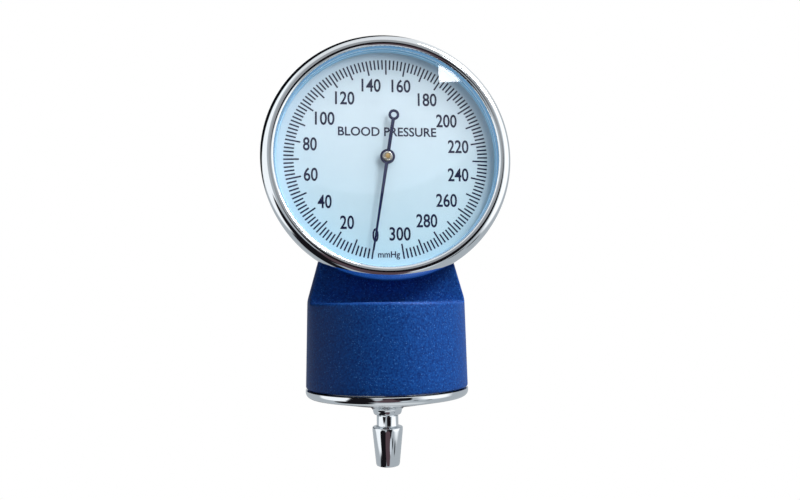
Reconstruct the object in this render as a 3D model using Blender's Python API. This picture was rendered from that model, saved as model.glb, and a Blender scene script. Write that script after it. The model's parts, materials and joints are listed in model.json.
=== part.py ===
"""Aneroid pressure gauge head with a hose nozzle: a working assembly of separate pieces.

Frame: metres, +Z up, the dial faces -Y. The origin is the centre of the nozzle's open end, and
the barrel's axis is the Z axis. The dial's pieces hang on an empty, face_frame, whose own axes
are x to the right, y up and z out of the dial towards the reader.
"""

import math

import bmesh
import bpy
from mathutils import Matrix

MM = 0.001
MERGE = 2e-6
OVERLAP = 0.6 * MM
GAP = 0.3 * MM

LARGE, MEDIUM, SMALL, TINY = 48, 32, 20, 12

# Overall layout.
DIAL_HEIGHT = 70.0 * MM

# Levels along the dial's axis, measured forwards from the barrel's axis.
BEZEL_FRONT = 11.5 * MM
LENS_FRONT = 10.6 * MM
LENS_THICKNESS = 0.8 * MM
DIAL_FACE = 7.0 * MM
DIAL_THICKNESS = 0.5 * MM
DIAL_SEAT = DIAL_FACE - DIAL_THICKNESS - GAP
CASE_RIM = 8.0 * MM
BEZEL_REAR = 6.0 * MM
FACET_DEPTH = 5.6 * MM
CASE_FLOOR = -6.8 * MM
CASE_BACK = -9.0 * MM

# Radii about the dial's axis.
BEZEL_RADIUS = 28.4 * MM
LIP_RADIUS = 25.3 * MM
SHEET = 0.6 * MM
CASE_RADIUS = 27.5 * MM
SEAT_RADIUS = 26.5 * MM
CASE_BORE = 24.8 * MM
LENS_WALL_INNER = 25.2 * MM
LENS_WALL_OUTER = SEAT_RADIUS - GAP
DIAL_RADIUS = SEAT_RADIUS - GAP
DIAL_HOLE = 1.3 * MM
BACK_ROUND = 2.5 * MM
CRIMP_DEPTH = 0.55 * MM

# Bezel nose: how far each point lies out from the lip and back from the front, in millimetres.
NOSE = ((0.0, 0.45), (0.35, 0.12), (1.0, 0.0), (1.8, 0.15), (2.5, 0.65), (2.95, 1.4))
NOSE_DEPTH = 2.3 * MM
BEZEL_REAR_ROUND = (0.25 * MM, 0.4 * MM)
BEZEL_SHOULDER = (0.6 * MM, 0.5 * MM)

# Lens flange, which rests on the case's rim, and the lens's small corners.
FLANGE_FRONT = CASE_RIM + 1.7 * MM
FLANGE_REAR = CASE_RIM + 1.1 * MM
FLANGE_PLAY = 0.1 * MM
LENS_CORNER = 0.3 * MM
GASKET_PLAY = 0.2 * MM

# Barrel and neck.
BARREL_BOTTOM = 17.9 * MM
LEDGE_HEIGHT = 36.9 * MM
BARREL_TOP_RADIUS = 18.4 * MM
BARREL_BOTTOM_RADIUS = 18.65 * MM
BARREL_BORE = 15.8 * MM
BARREL_ROOF = 35.0 * MM
SPIGOT_BORE = 16.4 * MM
SPIGOT_STEP = 20.2 * MM
NECK_TOP = 54.0 * MM
NECK_SLOPE = math.radians(15.0)
NECK_ROUND = 6.0 * MM
NECK_BACK_TOP = 8.4 * MM
PASSAGE_SIZE = (22.0 * MM, 10.4 * MM)
PASSAGE_CENTRE_Y = 1.4 * MM
PASSAGE_CORNER = 3.0 * MM
PASSAGE_TOP = DIAL_HEIGHT - 20.0 * MM

# Bottom plate and nozzle.
PLATE_RADIUS = 18.7 * MM
PLATE_TOP = BARREL_BOTTOM - GAP
PLATE_EDGE = 15.8 * MM
PLATE_BOSS = 11.5 * MM
PLATE_FLOOR = 17.0 * MM
SPIGOT_TOP = 19.0 * MM
SPIGOT_INNER = 14.2 * MM
PLATE_FLOOR_RADIUS = 13.4 * MM
BOSS_FACE = 2.9 * MM
BOSS_FLARE = (3.3 * MM, 0.8 * MM)
BOSS_FOOT = (5.0 * MM, 1.4 * MM)
CONE_START = (11.0 * MM, 1.2 * MM)
RIM_INSET = (0.9 * MM, 0.2 * MM)
RIM_RISE = (0.25 * MM, 0.6 * MM)
BARB_RADIUS = 3.5 * MM
BARB_TOP = 8.7 * MM
NOZZLE_STEM = 2.5 * MM
NOZZLE_BORE = 1.1 * MM
SHANK_RADIUS = 1.9 * MM
SHANK_TOP = 21.2 * MM
MOUTH_RADIUS = 2.35 * MM
MOUTH_EDGE = (2.7 * MM, 0.4 * MM)
BARB_LAND = 0.7 * MM
BARB_SLOPE = 0.25 * MM
WASHER = (3.8 * MM, 0.6 * MM)
INLET_NUT_RADIUS = 4.0 * MM

# Capsule: two corrugated discs.
CAPSULE_RADIUS = 14.5 * MM
CAPSULE_SEAM = 22.75 * MM
CAPSULE_LOW = 20.1 * MM
CAPSULE_HIGH = 25.4 * MM
CAPSULE_BOSS_TOP = 27.0 * MM
DISC_THICKNESS = 0.4 * MM
CORRUGATION = 0.35 * MM
CAPSULE_BOSS = 2.5 * MM
CAPSULE_SHOULDER = 2.5 * MM
CAPSULE_RISE = 1.5 * MM

# Movement: the pinion on the dial's axis, and the sector below it.
MODULE = 0.3 * MM
PINION_TEETH = 10
SECTOR_WHOLE_TEETH = 100
SECTOR_TOOTH_RANGE = range(-11, 3)
CENTRE_PLAY = 0.08 * MM
SECTOR_OFFSET = -3.5 * MM
SWEEP = math.radians(342.0)
SECTOR_SWING = SWEEP * PINION_TEETH / SECTOR_WHOLE_TEETH
FINGER_ARM = 3.5 * MM
FINGER_RADIUS = 0.8 * MM
FRONT_PLATE = (3.6 * MM, 4.6 * MM)
REAR_PLATE = (-3.9 * MM, -2.9 * MM)
PLATE_OUTLINE = (22.0 * MM, 26.0 * MM)
PLATE_CENTRE_Y = -7.0 * MM
PILLARS = ((-8.0 * MM, 3.5 * MM), (8.0 * MM, 3.5 * MM), (8.5 * MM, -17.5 * MM))
MOUNT_SCREWS = ((-8.5 * MM, -8.0 * MM), (8.5 * MM, -8.0 * MM))
ARBOR_RADIUS = 0.5 * MM
PIVOT_RADIUS = 0.6 * MM
PLATE_CORNER = 4.0 * MM
BOSS_RADIUS = 2.4 * MM
SCREW_HOLE = 1.1 * MM
SCREW_RADIUS = 0.8 * MM
SCREW_HEAD = (1.6 * MM, 1.2 * MM)
SCREW_SLOT = (4.0 * MM, 0.5 * MM)
SLOT_CORNER = 0.1 * MM
PILLAR_RADIUS = 1.4 * MM
PILLAR_SPIGOT = 0.8 * MM
NUT_RADIUS = 1.9 * MM
PIVOT_END = 0.2 * MM
PINION_END = 0.5 * MM
PINION_HALF = 0.8 * MM
COLLET = (1.5 * MM, 2.2 * MM, 3.0 * MM)
SECTOR_HUB = 1.9 * MM
SECTOR_HALF = 0.5 * MM
SECTOR_CUT = 1.0 * MM
WINDOW_INNER = 5.0 * MM
WINDOW_OUTER = 12.8 * MM
ARBOR_COLLAR = (1.3 * MM, 1.0 * MM, 2.6 * MM)
ARM_LEVELS = (-2.0 * MM, -0.8 * MM)
ARM_INSET = (0.1 * MM, 0.3 * MM)
ARM_HALF = (0.9 * MM, 0.6 * MM)
FINGER_TOP = 1.2 * MM

# Hairspring: a strip wound outwards.
SPRING_TURNS = 4.5
SPRING_START = 1.9 * MM
SPRING_PITCH = 1.0 * MM
STRIP_HALF = 0.08 * MM
STRIP_LEVELS = (2.35 * MM, 2.85 * MM)
STEPS_PER_TURN = 14
STUD_RADIUS = 0.7 * MM
STUD_LOW = 1.9 * MM
STUD_PLACE = 7.4 * MM

# Push rod, its cap and its guide.
ROD_RADIUS = 0.9 * MM
ROD_FOOT = (3.0 * MM, 0.9 * MM, 1.5 * MM)
CAP_HEIGHT = 1.2 * MM
CAP_RADIUS = 1.2 * MM
CAP_CHAMFER = 0.2 * MM
CAP_FLAT = 1.0 * MM
GUIDE_FLANGE = (14.0 * MM, 1.2 * MM)
GUIDE_SLEEVE = (2.3 * MM, 41.0 * MM)

# Pointer.
ZERO_ANGLE = math.radians(-99.0)
POINTER_LEVEL = (8.7 * MM, 9.0 * MM)
POINTER_LENGTH = 21.8 * MM
POINTER_ROOT_WIDTH = 0.8 * MM
POINTER_TIP_WIDTH = 0.45 * MM
POINTER_DISC = 1.7 * MM
TAIL_LENGTH = 9.9 * MM
TAIL_RING = (0.65 * MM, 1.25 * MM)
BUSH_RADIUS = 1.1 * MM
BUSH_RISE = 0.2 * MM
FLANGE_INSET = 0.1 * MM

# Finishes: base colour, roughness, metallic.
FINISHES = {
    "navy_paint": ((0.008, 0.035, 0.150), 0.45, 0.3),
    "chrome": ((0.70, 0.71, 0.73), 0.08, 1.0),
    "clear_acrylic": ((0.75, 0.88, 0.95), 0.05, 0.0),
    "printed_dial": ((0.66, 0.85, 0.93), 0.50, 0.0),
    "black_lacquer": ((0.006, 0.007, 0.030), 0.35, 0.0),
    "nickel": ((0.62, 0.62, 0.60), 0.20, 1.0),
    "brass": ((0.70, 0.48, 0.18), 0.28, 1.0),
    "bronze": ((0.60, 0.36, 0.18), 0.35, 1.0),
    "steel": ((0.42, 0.43, 0.45), 0.30, 1.0),
    "rubber": ((0.015, 0.015, 0.016), 0.80, 0.0),
}


def clear_scene():
    for old in list(bpy.data.objects):
        bpy.data.objects.remove(old, do_unlink=True)


def finish(name):
    """The material of one finish, made the first time that it is asked for."""
    if name in bpy.data.materials:
        return bpy.data.materials[name]
    colour, roughness, metallic = FINISHES[name]
    material = bpy.data.materials.new(name)
    material.use_nodes = True
    shader = material.node_tree.nodes["Principled BSDF"]
    shader.inputs["Base Color"].default_value = (*colour, 1.0)
    shader.inputs["Roughness"].default_value = roughness
    shader.inputs["Metallic"].default_value = metallic
    material.diffuse_color = (*colour, 1.0)
    return material


def empty(name, location=(0, 0, 0), rotation=(0, 0, 0), parent=None):
    made = bpy.data.objects.new(name, None)
    bpy.context.scene.collection.objects.link(made)
    made.location = location
    made.rotation_euler = rotation
    made.parent = parent
    return made


def piece(name, mesh, finish_name, parent=None, location=(0, 0, 0)):
    """A named object of the mesh, shaded smooth except at its sharp edges."""
    made = bpy.data.objects.new(name, mesh)
    bpy.context.scene.collection.objects.link(made)
    made.parent = parent
    made.location = location
    mesh.materials.append(finish(finish_name))
    mesh.shade_smooth()
    mesh.set_sharp_from_angle(angle=math.radians(35))
    return made


def helper(name, mesh, parent=None, location=(0, 0, 0)):
    """A shape that only joins or cuts another one."""
    made = bpy.data.objects.new(name, mesh)
    bpy.context.scene.collection.objects.link(made)
    made.parent = parent
    made.location = location
    made.hide_render = True
    made.display_type = "WIRE"
    return made


def combine(target, other, operation):
    modifier = target.modifiers.new(other.name, "BOOLEAN")
    modifier.operation = operation
    modifier.object = other
    modifier.solver = "EXACT"


def closed_mesh(name, bm):
    bmesh.ops.remove_doubles(bm, verts=bm.verts, dist=MERGE)
    bmesh.ops.recalc_face_normals(bm, faces=bm.faces)
    mesh = bpy.data.meshes.new(name)
    bm.to_mesh(mesh)
    bm.free()
    return mesh


def turned_mesh(name, profile, segments):
    """A solid of revolution about z. Profile is a closed loop of (radius, z); it may use the axis."""
    bm = bmesh.new()
    verts = [bm.verts.new((radius, 0, z)) for radius, z in profile]
    pairs = zip(verts, verts[1:] + verts[:1])
    edges = [bm.edges.new(pair) for pair in pairs if pair[0].co.x > 0 or pair[1].co.x > 0]
    bmesh.ops.spin(
        bm, geom=verts + edges, axis=(0, 0, 1), cent=(0, 0, 0), steps=segments, angle=math.tau
    )
    return closed_mesh(name, bm)


def rod_profile(radius, low, high):
    return [(0, low), (radius, low), (radius, high), (0, high)]


def ring_profile(inner, outer, low, high):
    return [(inner, low), (outer, low), (outer, high), (inner, high)]


def slab_mesh(name, outline, low, high):
    """A flat plate: the outline's points (x, y) raised from z = low to z = high."""
    bm = bmesh.new()
    face = bm.faces.new([bm.verts.new((x, y, low)) for x, y in outline])
    raised = bmesh.ops.extrude_face_region(bm, geom=[face])["geom"]
    tops = [item for item in raised if isinstance(item, bmesh.types.BMVert)]
    bmesh.ops.translate(bm, verts=tops, vec=(0, 0, high - low))
    return closed_mesh(name, bm)


def arc(centre, radius, start, end, steps):
    """Points of an arc, both ends included, with angles in radians."""
    x, y = centre
    angles = [start + (end - start) * i / steps for i in range(steps + 1)]
    return [(x + radius * math.cos(a), y + radius * math.sin(a)) for a in angles]


def circle(centre, radius, steps):
    return arc(centre, radius, 0, math.tau, steps)[:-1]


def rounded_rectangle(centre, size, radius, steps=4):
    x, y = centre
    half_x = size[0] / 2 - radius
    half_y = size[1] / 2 - radius
    corners = ((1, 1, 0), (-1, 1, 1), (-1, -1, 2), (1, -1, 3))
    points = []
    for sign_x, sign_y, quarter in corners:
        start = quarter * math.pi / 2
        corner = (x + sign_x * half_x, y + sign_y * half_y)
        points += arc(corner, radius, start, start + math.pi / 2, steps)
    return points


def drill(target, name, centre, radius, low, high, parent, segments=TINY):
    """Cuts a round hole along the parent's z axis."""
    hole = helper(name, turned_mesh(name, rod_profile(radius, low, high), segments), parent)
    hole.location = (*centre, 0)
    combine(target, hole, "DIFFERENCE")


def polar(radius, angle):
    return (radius * math.cos(angle), radius * math.sin(angle))


# Case.


def barrel_radius(height):
    share = (height - BARREL_BOTTOM) / (LEDGE_HEIGHT - BARREL_BOTTOM)
    return BARREL_BOTTOM_RADIUS + (BARREL_TOP_RADIUS - BARREL_BOTTOM_RADIUS) * share


def neck_half_width(height):
    """Tangent to the barrel, then leaning in by the slope."""
    rise = height - LEDGE_HEIGHT
    bend = NECK_ROUND * math.sin(NECK_SLOPE)
    if rise < bend:
        return BARREL_TOP_RADIUS - NECK_ROUND + math.sqrt(NECK_ROUND**2 - rise**2)
    bent = NECK_ROUND * (1 - math.cos(NECK_SLOPE))
    return BARREL_TOP_RADIUS - bent - (rise - bend) * math.tan(NECK_SLOPE)


def neck_back_depth(height):
    """An S-curve from the barrel's back to inside the cup."""
    share = min(1.0, (height - LEDGE_HEIGHT) / (NECK_TOP - LEDGE_HEIGHT))
    swing = BARREL_TOP_RADIUS - NECK_BACK_TOP
    return NECK_BACK_TOP + swing * (0.5 + 0.5 * math.cos(math.pi * share))


def case_ring(half_width, back_depth, height, flat_front, around=38, across=12):
    """One level of the casting: round sides and back, and a front that is flat or round."""
    corner = math.asin(FACET_DEPTH / half_width)
    points = []
    for i in range(around + 1):
        angle = -corner + (math.pi + 2 * corner) * i / around
        depth = back_depth if angle > 0 and angle < math.pi else half_width
        points.append((half_width * math.cos(angle), depth * math.sin(angle), height))
    for i in range(1, across):
        angle = math.pi + corner + (math.pi - 2 * corner) * i / across
        x = half_width * math.cos(angle)
        y = -FACET_DEPTH if flat_front else half_width * math.sin(angle)
        points.append((x, y, height))
    return points


def casting_mesh():
    """Barrel and neck as one skin, with the level ledge in front of the neck's flat facet."""
    rings = [
        case_ring(barrel_radius(z), barrel_radius(z), z, False)
        for z in (BARREL_BOTTOM, LEDGE_HEIGHT)
    ]
    levels = 9
    for i in range(levels + 1):
        z = LEDGE_HEIGHT + (NECK_TOP - LEDGE_HEIGHT) * i / levels
        rings.append(case_ring(neck_half_width(z), neck_back_depth(z), z, True))
    bm = bmesh.new()
    rows = [[bm.verts.new(point) for point in ring] for ring in rings]
    for lower, upper in zip(rows, rows[1:]):
        for i in range(len(lower)):
            j = (i + 1) % len(lower)
            bm.faces.new((lower[i], lower[j], upper[j], upper[i]))
    bm.faces.new(rows[0])
    bm.faces.new(rows[-1])
    return closed_mesh("case_body", bm)


def cup_profile():
    """The hollow cup behind the dial: seat, rim, a groove for the bezel's crimp, round back."""
    groove = CASE_RADIUS - CRIMP_DEPTH
    rounding = arc(
        (CASE_RADIUS - BACK_ROUND, CASE_BACK + BACK_ROUND), BACK_ROUND, 0, -math.pi / 2, 4
    )
    return [
        (0, CASE_FLOOR),
        (CASE_BORE, CASE_FLOOR),
        (CASE_BORE, DIAL_SEAT),
        (SEAT_RADIUS, DIAL_SEAT),
        (SEAT_RADIUS, CASE_RIM),
        (CASE_RADIUS, CASE_RIM),
        (CASE_RADIUS, BEZEL_REAR + 3 * GAP),
        (groove, BEZEL_REAR + 3 * GAP),
        (groove, BEZEL_REAR - GAP),
        (CASE_RADIUS, BEZEL_REAR - GAP),
        *rounding,
        (0, CASE_BACK),
    ]


def barrel_cavity():
    """The barrel's bore, wider below the step that the bottom plate's spigot fits."""
    low = BARREL_BOTTOM - OVERLAP
    return [
        (0, low),
        (SPIGOT_BORE, low),
        (SPIGOT_BORE, SPIGOT_STEP),
        (BARREL_BORE, SPIGOT_STEP),
        (BARREL_BORE, BARREL_ROOF),
        (0, BARREL_ROOF),
    ]


def make_case(face):
    """One casting: the neck is cleared inside the cup, then the hollows and bosses are made."""
    case = piece("case_body", casting_mesh(), "navy_paint")
    wall_middle = (CASE_BORE + CASE_RADIUS) / 2
    floor_middle = (CASE_FLOOR + CASE_BACK) / 2
    drill(case, "cup_room", (0, 0), wall_middle, floor_middle, BEZEL_FRONT, face, LARGE)
    cup = helper("case_cup", turned_mesh("case_cup", cup_profile(), LARGE), face)
    combine(case, cup, "UNION")
    barrel = helper("barrel_cutter", turned_mesh("barrel_cutter", barrel_cavity(), LARGE))
    combine(case, barrel, "DIFFERENCE")
    outline = rounded_rectangle((0, PASSAGE_CENTRE_Y), PASSAGE_SIZE, PASSAGE_CORNER)
    passage = slab_mesh("passage_cutter", outline, BARREL_ROOF - OVERLAP, PASSAGE_TOP)
    combine(case, helper("passage_cutter", passage), "DIFFERENCE")
    boss_top = REAR_PLATE[0] - GAP
    for number, place in enumerate(MOUNT_SCREWS, 1):
        name = f"boss_{number}"
        mesh = turned_mesh(name, rod_profile(BOSS_RADIUS, CASE_FLOOR - OVERLAP, boss_top), SMALL)
        combine(case, helper(name, mesh, face, (*place, 0)), "UNION")
    for number, place in enumerate(MOUNT_SCREWS, 1):
        name = f"boss_hole_{number}"
        drill(case, name, place, SCREW_HOLE, CASE_FLOOR + GAP, boss_top + OVERLAP, face)


def make_bezel(face):
    """A rolled sheet ring: a rounded nose over the lens, a skirt, and a crimp at the rear."""
    skirt = BEZEL_RADIUS - SHEET
    rear_x, rear_y = BEZEL_REAR_ROUND
    shoulder_x, shoulder_y = BEZEL_SHOULDER
    crimp = CASE_RADIUS - CRIMP_DEPTH + GAP
    nose = [(LIP_RADIUS + out * MM, BEZEL_FRONT - back * MM) for out, back in NOSE]
    nose.append((BEZEL_RADIUS, BEZEL_FRONT - NOSE_DEPTH))
    rear = [
        (BEZEL_RADIUS, BEZEL_REAR + rear_y),
        (BEZEL_RADIUS - rear_x, BEZEL_REAR),
        (crimp, BEZEL_REAR),
        (crimp, BEZEL_REAR + 2 * GAP),
        (skirt, BEZEL_REAR + 3 * GAP),
    ]
    inside = [
        (skirt, LENS_FRONT - shoulder_y),
        (skirt - shoulder_x, LENS_FRONT + GAP),
        (LIP_RADIUS, LENS_FRONT + GAP),
    ]
    piece("bezel_ring", turned_mesh("bezel_ring", nose + rear + inside, LARGE), "chrome", face)


def make_lens(face):
    """A clear cap: flat front, straight wall down to the dial, and a flange on the case's rim."""
    wall_end = DIAL_FACE + GAP
    inside = LENS_FRONT - LENS_THICKNESS
    profile = [
        (0, LENS_FRONT),
        (LENS_WALL_OUTER - LENS_CORNER, LENS_FRONT),
        (LENS_WALL_OUTER, LENS_FRONT - LENS_CORNER),
        (LENS_WALL_OUTER, FLANGE_FRONT),
        (CASE_RADIUS - FLANGE_PLAY, FLANGE_FRONT),
        (CASE_RADIUS - FLANGE_PLAY, FLANGE_REAR),
        (LENS_WALL_OUTER, FLANGE_REAR),
        (LENS_WALL_OUTER, wall_end),
        (LENS_WALL_INNER, wall_end),
        (LENS_WALL_INNER, inside - LENS_CORNER),
        (LENS_WALL_INNER - LENS_CORNER, inside),
        (0, inside),
    ]
    piece("lens", turned_mesh("lens", profile, LARGE), "clear_acrylic", face)
    seal_outer = CASE_RADIUS - GASKET_PLAY
    seal = ring_profile(SEAT_RADIUS, seal_outer, CASE_RIM + GAP, FLANGE_REAR - GAP)
    piece("lens_gasket", turned_mesh("lens_gasket", seal, LARGE), "rubber", face)


def make_dial(face):
    profile = ring_profile(DIAL_HOLE, DIAL_RADIUS, DIAL_FACE - DIAL_THICKNESS, DIAL_FACE)
    piece("dial_plate", turned_mesh("dial_plate", profile, LARGE), "printed_dial", face)


# Movement.


def make_movement_plates(face, pivot):
    outline = rounded_rectangle((0, PLATE_CENTRE_Y), PLATE_OUTLINE, PLATE_CORNER, 5)
    for name, (low, high) in (
        ("movement_front_plate", FRONT_PLATE),
        ("movement_rear_plate", REAR_PLATE),
    ):
        plate = piece(name, slab_mesh(name, outline, low, high), "brass", face)
        under, over = low - OVERLAP, high + OVERLAP
        drill(plate, f"{name}_arbor_hole", (0, 0), ARBOR_RADIUS + GAP, under, over, face)
        drill(plate, f"{name}_pivot_hole", pivot, PIVOT_RADIUS + GAP, under, over, face)
        for number, place in enumerate(PILLARS, 1):
            drill(plate, f"{name}_pillar_hole_{number}", place, SCREW_HOLE, under, over, face)
    rear = bpy.data.objects["movement_rear_plate"]
    for number, place in enumerate(MOUNT_SCREWS, 1):
        low, high = REAR_PLATE[0] - OVERLAP, REAR_PLATE[1] + OVERLAP
        drill(rear, f"mount_hole_{number}", place, SCREW_HOLE, low, high, face)


def make_pillars(face):
    body = (REAR_PLATE[1] + GAP, FRONT_PLATE[0] - GAP)
    front_end = DIAL_SEAT - GAP
    profile = [
        (0, REAR_PLATE[0] - GAP),
        (PILLAR_SPIGOT, REAR_PLATE[0] - GAP),
        (PILLAR_SPIGOT, body[0]),
        (PILLAR_RADIUS, body[0]),
        (PILLAR_RADIUS, body[1]),
        (PILLAR_SPIGOT, body[1]),
        (PILLAR_SPIGOT, front_end),
        (0, front_end),
    ]
    nut_low = FRONT_PLATE[1] + GAP
    for number, (x, y) in enumerate(PILLARS, 1):
        name = f"pillar_{number}"
        piece(name, turned_mesh(name, profile, TINY), "brass", face, (x, y, 0))
        name = f"pillar_nut_{number}"
        mesh = slab_mesh(name, circle((0, 0), NUT_RADIUS, 6), nut_low, front_end - GAP)
        nut = piece(name, mesh, "steel", face, (x, y, 0))
        drill(nut, f"{name}_hole", (x, y), SCREW_HOLE, nut_low - OVERLAP, front_end, face)


def make_mount_screws(face):
    """Two cheese-head screws that hold the rear plate to the case's bosses."""
    head = REAR_PLATE[1] + GAP
    head_radius, head_height = SCREW_HEAD
    head_top = head + head_height
    profile = [
        (0, CASE_FLOOR + 2 * GAP),
        (SCREW_RADIUS, CASE_FLOOR + 2 * GAP),
        (SCREW_RADIUS, head),
        (head_radius, head),
        (head_radius, head_top),
        (0, head_top),
    ]
    for number, (x, y) in enumerate(MOUNT_SCREWS, 1):
        name = f"mount_screw_{number}"
        screw = piece(name, turned_mesh(name, profile, TINY), "steel", face, (x, y, 0))
        outline = rounded_rectangle((0, 0), SCREW_SLOT, SLOT_CORNER, 1)
        slot = slab_mesh(f"{name}_slot", outline, head_top - SCREW_SLOT[1], head_top + OVERLAP)
        combine(screw, helper(f"{name}_slot", slot, face, (x, y, 0)), "DIFFERENCE")


def tooth(centre, pitch_radius, depth, root_width, tip_width):
    """Four corners of one tooth, with widths in metres at the root and at the tip."""
    root = pitch_radius - depth
    tip = pitch_radius + 0.75 * MODULE
    root_half = root_width / 2 / root
    tip_half = tip_width / 2 / tip
    return [
        polar(root, centre - root_half),
        polar(tip, centre - tip_half),
        polar(tip, centre + tip_half),
        polar(root, centre + root_half),
    ]


def pinion_outline(mesh_angle):
    """A full ring of teeth, with a gap facing the sector."""
    pitch = MODULE * PINION_TEETH / 2
    points = []
    for i in range(PINION_TEETH):
        centre = mesh_angle + math.pi + (i + 0.5) * math.tau / PINION_TEETH
        points += tooth(centre, pitch, 1.0 * MODULE, 1.0 * MODULE, 0.5 * MODULE)
    return points


def sector_outline(mesh_angle):
    """Teeth along the rim, two straight sides, and the hub's round end."""
    pitch = MODULE * SECTOR_WHOLE_TEETH / 2
    step = math.tau / SECTOR_WHOLE_TEETH
    points = []
    for i in SECTOR_TOOTH_RANGE:
        centre = mesh_angle + i * step
        points += tooth(centre, pitch, 1.0 * MODULE, 1.5 * MODULE, 0.75 * MODULE)
    first = mesh_angle + (SECTOR_TOOTH_RANGE[0] - 0.6) * step
    last = mesh_angle + (SECTOR_TOOTH_RANGE[-1] + 0.6) * step
    rim = pitch - MODULE
    round_end = arc((0, 0), SECTOR_HUB, last + 0.9, first - 0.9 + math.tau, 12)
    return [polar(rim, first), *points, polar(rim, last), *round_end]


def sector_window(mesh_angle):
    """The opening in the sector's web."""
    step = math.tau / SECTOR_WHOLE_TEETH
    first = mesh_angle + (SECTOR_TOOTH_RANGE[0] + 1.2) * step
    last = mesh_angle + (SECTOR_TOOTH_RANGE[-1] - 1.2) * step
    outer = arc((0, 0), WINDOW_OUTER, first, last, 8)
    inner = arc((0, 0), WINDOW_INNER, last - 0.1, first + 0.1, 4)
    return outer + inner


def make_pointer_train(pointer_axis, mesh_angle):
    """Arbor with its pinion, and the hairspring's collet."""
    arbor_low = REAR_PLATE[0] - PINION_END
    arbor_high = POINTER_LEVEL[1] + GAP
    teeth = slab_mesh("pinion_arbor", pinion_outline(mesh_angle), -PINION_HALF, PINION_HALF)
    pinion = piece("pinion_arbor", teeth, "brass", pointer_axis)
    shaft = turned_mesh("arbor_shaft", rod_profile(ARBOR_RADIUS, arbor_low, arbor_high), TINY)
    combine(pinion, helper("arbor_shaft", shaft, pointer_axis), "UNION")
    collet = ring_profile(ARBOR_RADIUS + GAP, *COLLET)
    mesh = turned_mesh("hairspring_collet", collet, SMALL)
    piece("hairspring_collet", mesh, "brass", pointer_axis)


def make_pointer(pointer_axis):
    """A flat needle with a disc on the axis and a ring on its tail, and the bush it sits on."""
    low, high = POINTER_LEVEL
    disc = turned_mesh("pointer", rod_profile(POINTER_DISC, low, high), SMALL)
    pointer = piece("pointer", disc, "black_lacquer", pointer_axis)
    aim = Matrix.Rotation(ZERO_ANGLE, 4, "Z")
    half_root, half_tip = POINTER_ROOT_WIDTH / 2, POINTER_TIP_WIDTH / 2
    ring_inner, ring_outer = TAIL_RING
    tail_end = -(TAIL_LENGTH - (ring_inner + ring_outer) / 2)
    bar = [
        (POINTER_LENGTH, half_tip),
        (0, half_root),
        (tail_end, half_root),
        (tail_end, -half_root),
        (0, -half_root),
        (POINTER_LENGTH, -half_tip),
    ]
    bar_mesh = slab_mesh("pointer_bar", bar, low, high)
    bar_mesh.transform(aim)
    combine(pointer, helper("pointer_bar", bar_mesh, pointer_axis), "UNION")
    ring = turned_mesh("pointer_tail", ring_profile(ring_inner, ring_outer, low, high), SMALL)
    ring.transform(aim @ Matrix.Translation((-TAIL_LENGTH, 0, 0)))
    combine(pointer, helper("pointer_tail", ring, pointer_axis), "UNION")
    under, over = low - OVERLAP, high + OVERLAP
    hole = helper(
        "pointer_hole",
        turned_mesh("pointer_hole", rod_profile(BUSH_RADIUS + GAP, under, over), SMALL),
        pointer_axis,
    )
    combine(pointer, hole, "DIFFERENCE")
    bore = ARBOR_RADIUS + GAP
    bush = [
        (bore, low - 2 * GAP),
        (POINTER_DISC - FLANGE_INSET, low - 2 * GAP),
        (POINTER_DISC - FLANGE_INSET, low - GAP),
        (BUSH_RADIUS, low - GAP),
        (BUSH_RADIUS, high + BUSH_RISE),
        (bore, high + BUSH_RISE),
    ]
    piece("pointer_bush", turned_mesh("pointer_bush", bush, SMALL), "nickel", pointer_axis)


def make_hairspring(face):
    """A flat spiral strip round the collet, and the stud that its outer end is pinned to."""
    steps = int(SPRING_TURNS * STEPS_PER_TURN)
    inner, outer = [], []
    for i in range(steps + 1):
        angle = math.tau * SPRING_TURNS * i / steps + math.pi
        radius = SPRING_START + SPRING_PITCH * SPRING_TURNS * i / steps
        inner.append(polar(radius - STRIP_HALF, angle))
        outer.append(polar(radius + STRIP_HALF, angle))
    mesh = slab_mesh("hairspring", outer + inner[::-1], *STRIP_LEVELS)
    piece("hairspring", mesh, "bronze", face)
    stud = rod_profile(STUD_RADIUS, STUD_LOW, FRONT_PLATE[0] - GAP)
    mesh = turned_mesh("hairspring_stud", stud, TINY)
    piece("hairspring_stud", mesh, "brass", face, (STUD_PLACE, 0, 0))


def make_sector(sector_axis, mesh_angle):
    mesh = slab_mesh("sector_gear", sector_outline(mesh_angle), -SECTOR_HALF, SECTOR_HALF)
    sector = piece("sector_gear", mesh, "brass", sector_axis)
    window = slab_mesh("sector_window", sector_window(mesh_angle), -SECTOR_CUT, SECTOR_CUT)
    combine(sector, helper("sector_window", window, sector_axis), "DIFFERENCE")
    bore = PIVOT_RADIUS + GAP
    hole = turned_mesh("sector_bore", rod_profile(bore, -SECTOR_CUT, SECTOR_CUT), TINY)
    combine(sector, helper("sector_bore", hole, sector_axis), "DIFFERENCE")
    ends = (REAR_PLATE[0] + PIVOT_END, FRONT_PLATE[1] - PIVOT_END)
    collar, collar_low, collar_high = ARBOR_COLLAR
    arbor = [
        (0, ends[0]),
        (PIVOT_RADIUS, ends[0]),
        (PIVOT_RADIUS, collar_low),
        (collar, collar_low),
        (collar, collar_high),
        (PIVOT_RADIUS, collar_high),
        (PIVOT_RADIUS, ends[1]),
        (0, ends[1]),
    ]
    piece("sector_arbor", turned_mesh("sector_arbor", arbor, TINY), "steel", sector_axis)
    make_lifting_arm(sector_axis, bore)


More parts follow.
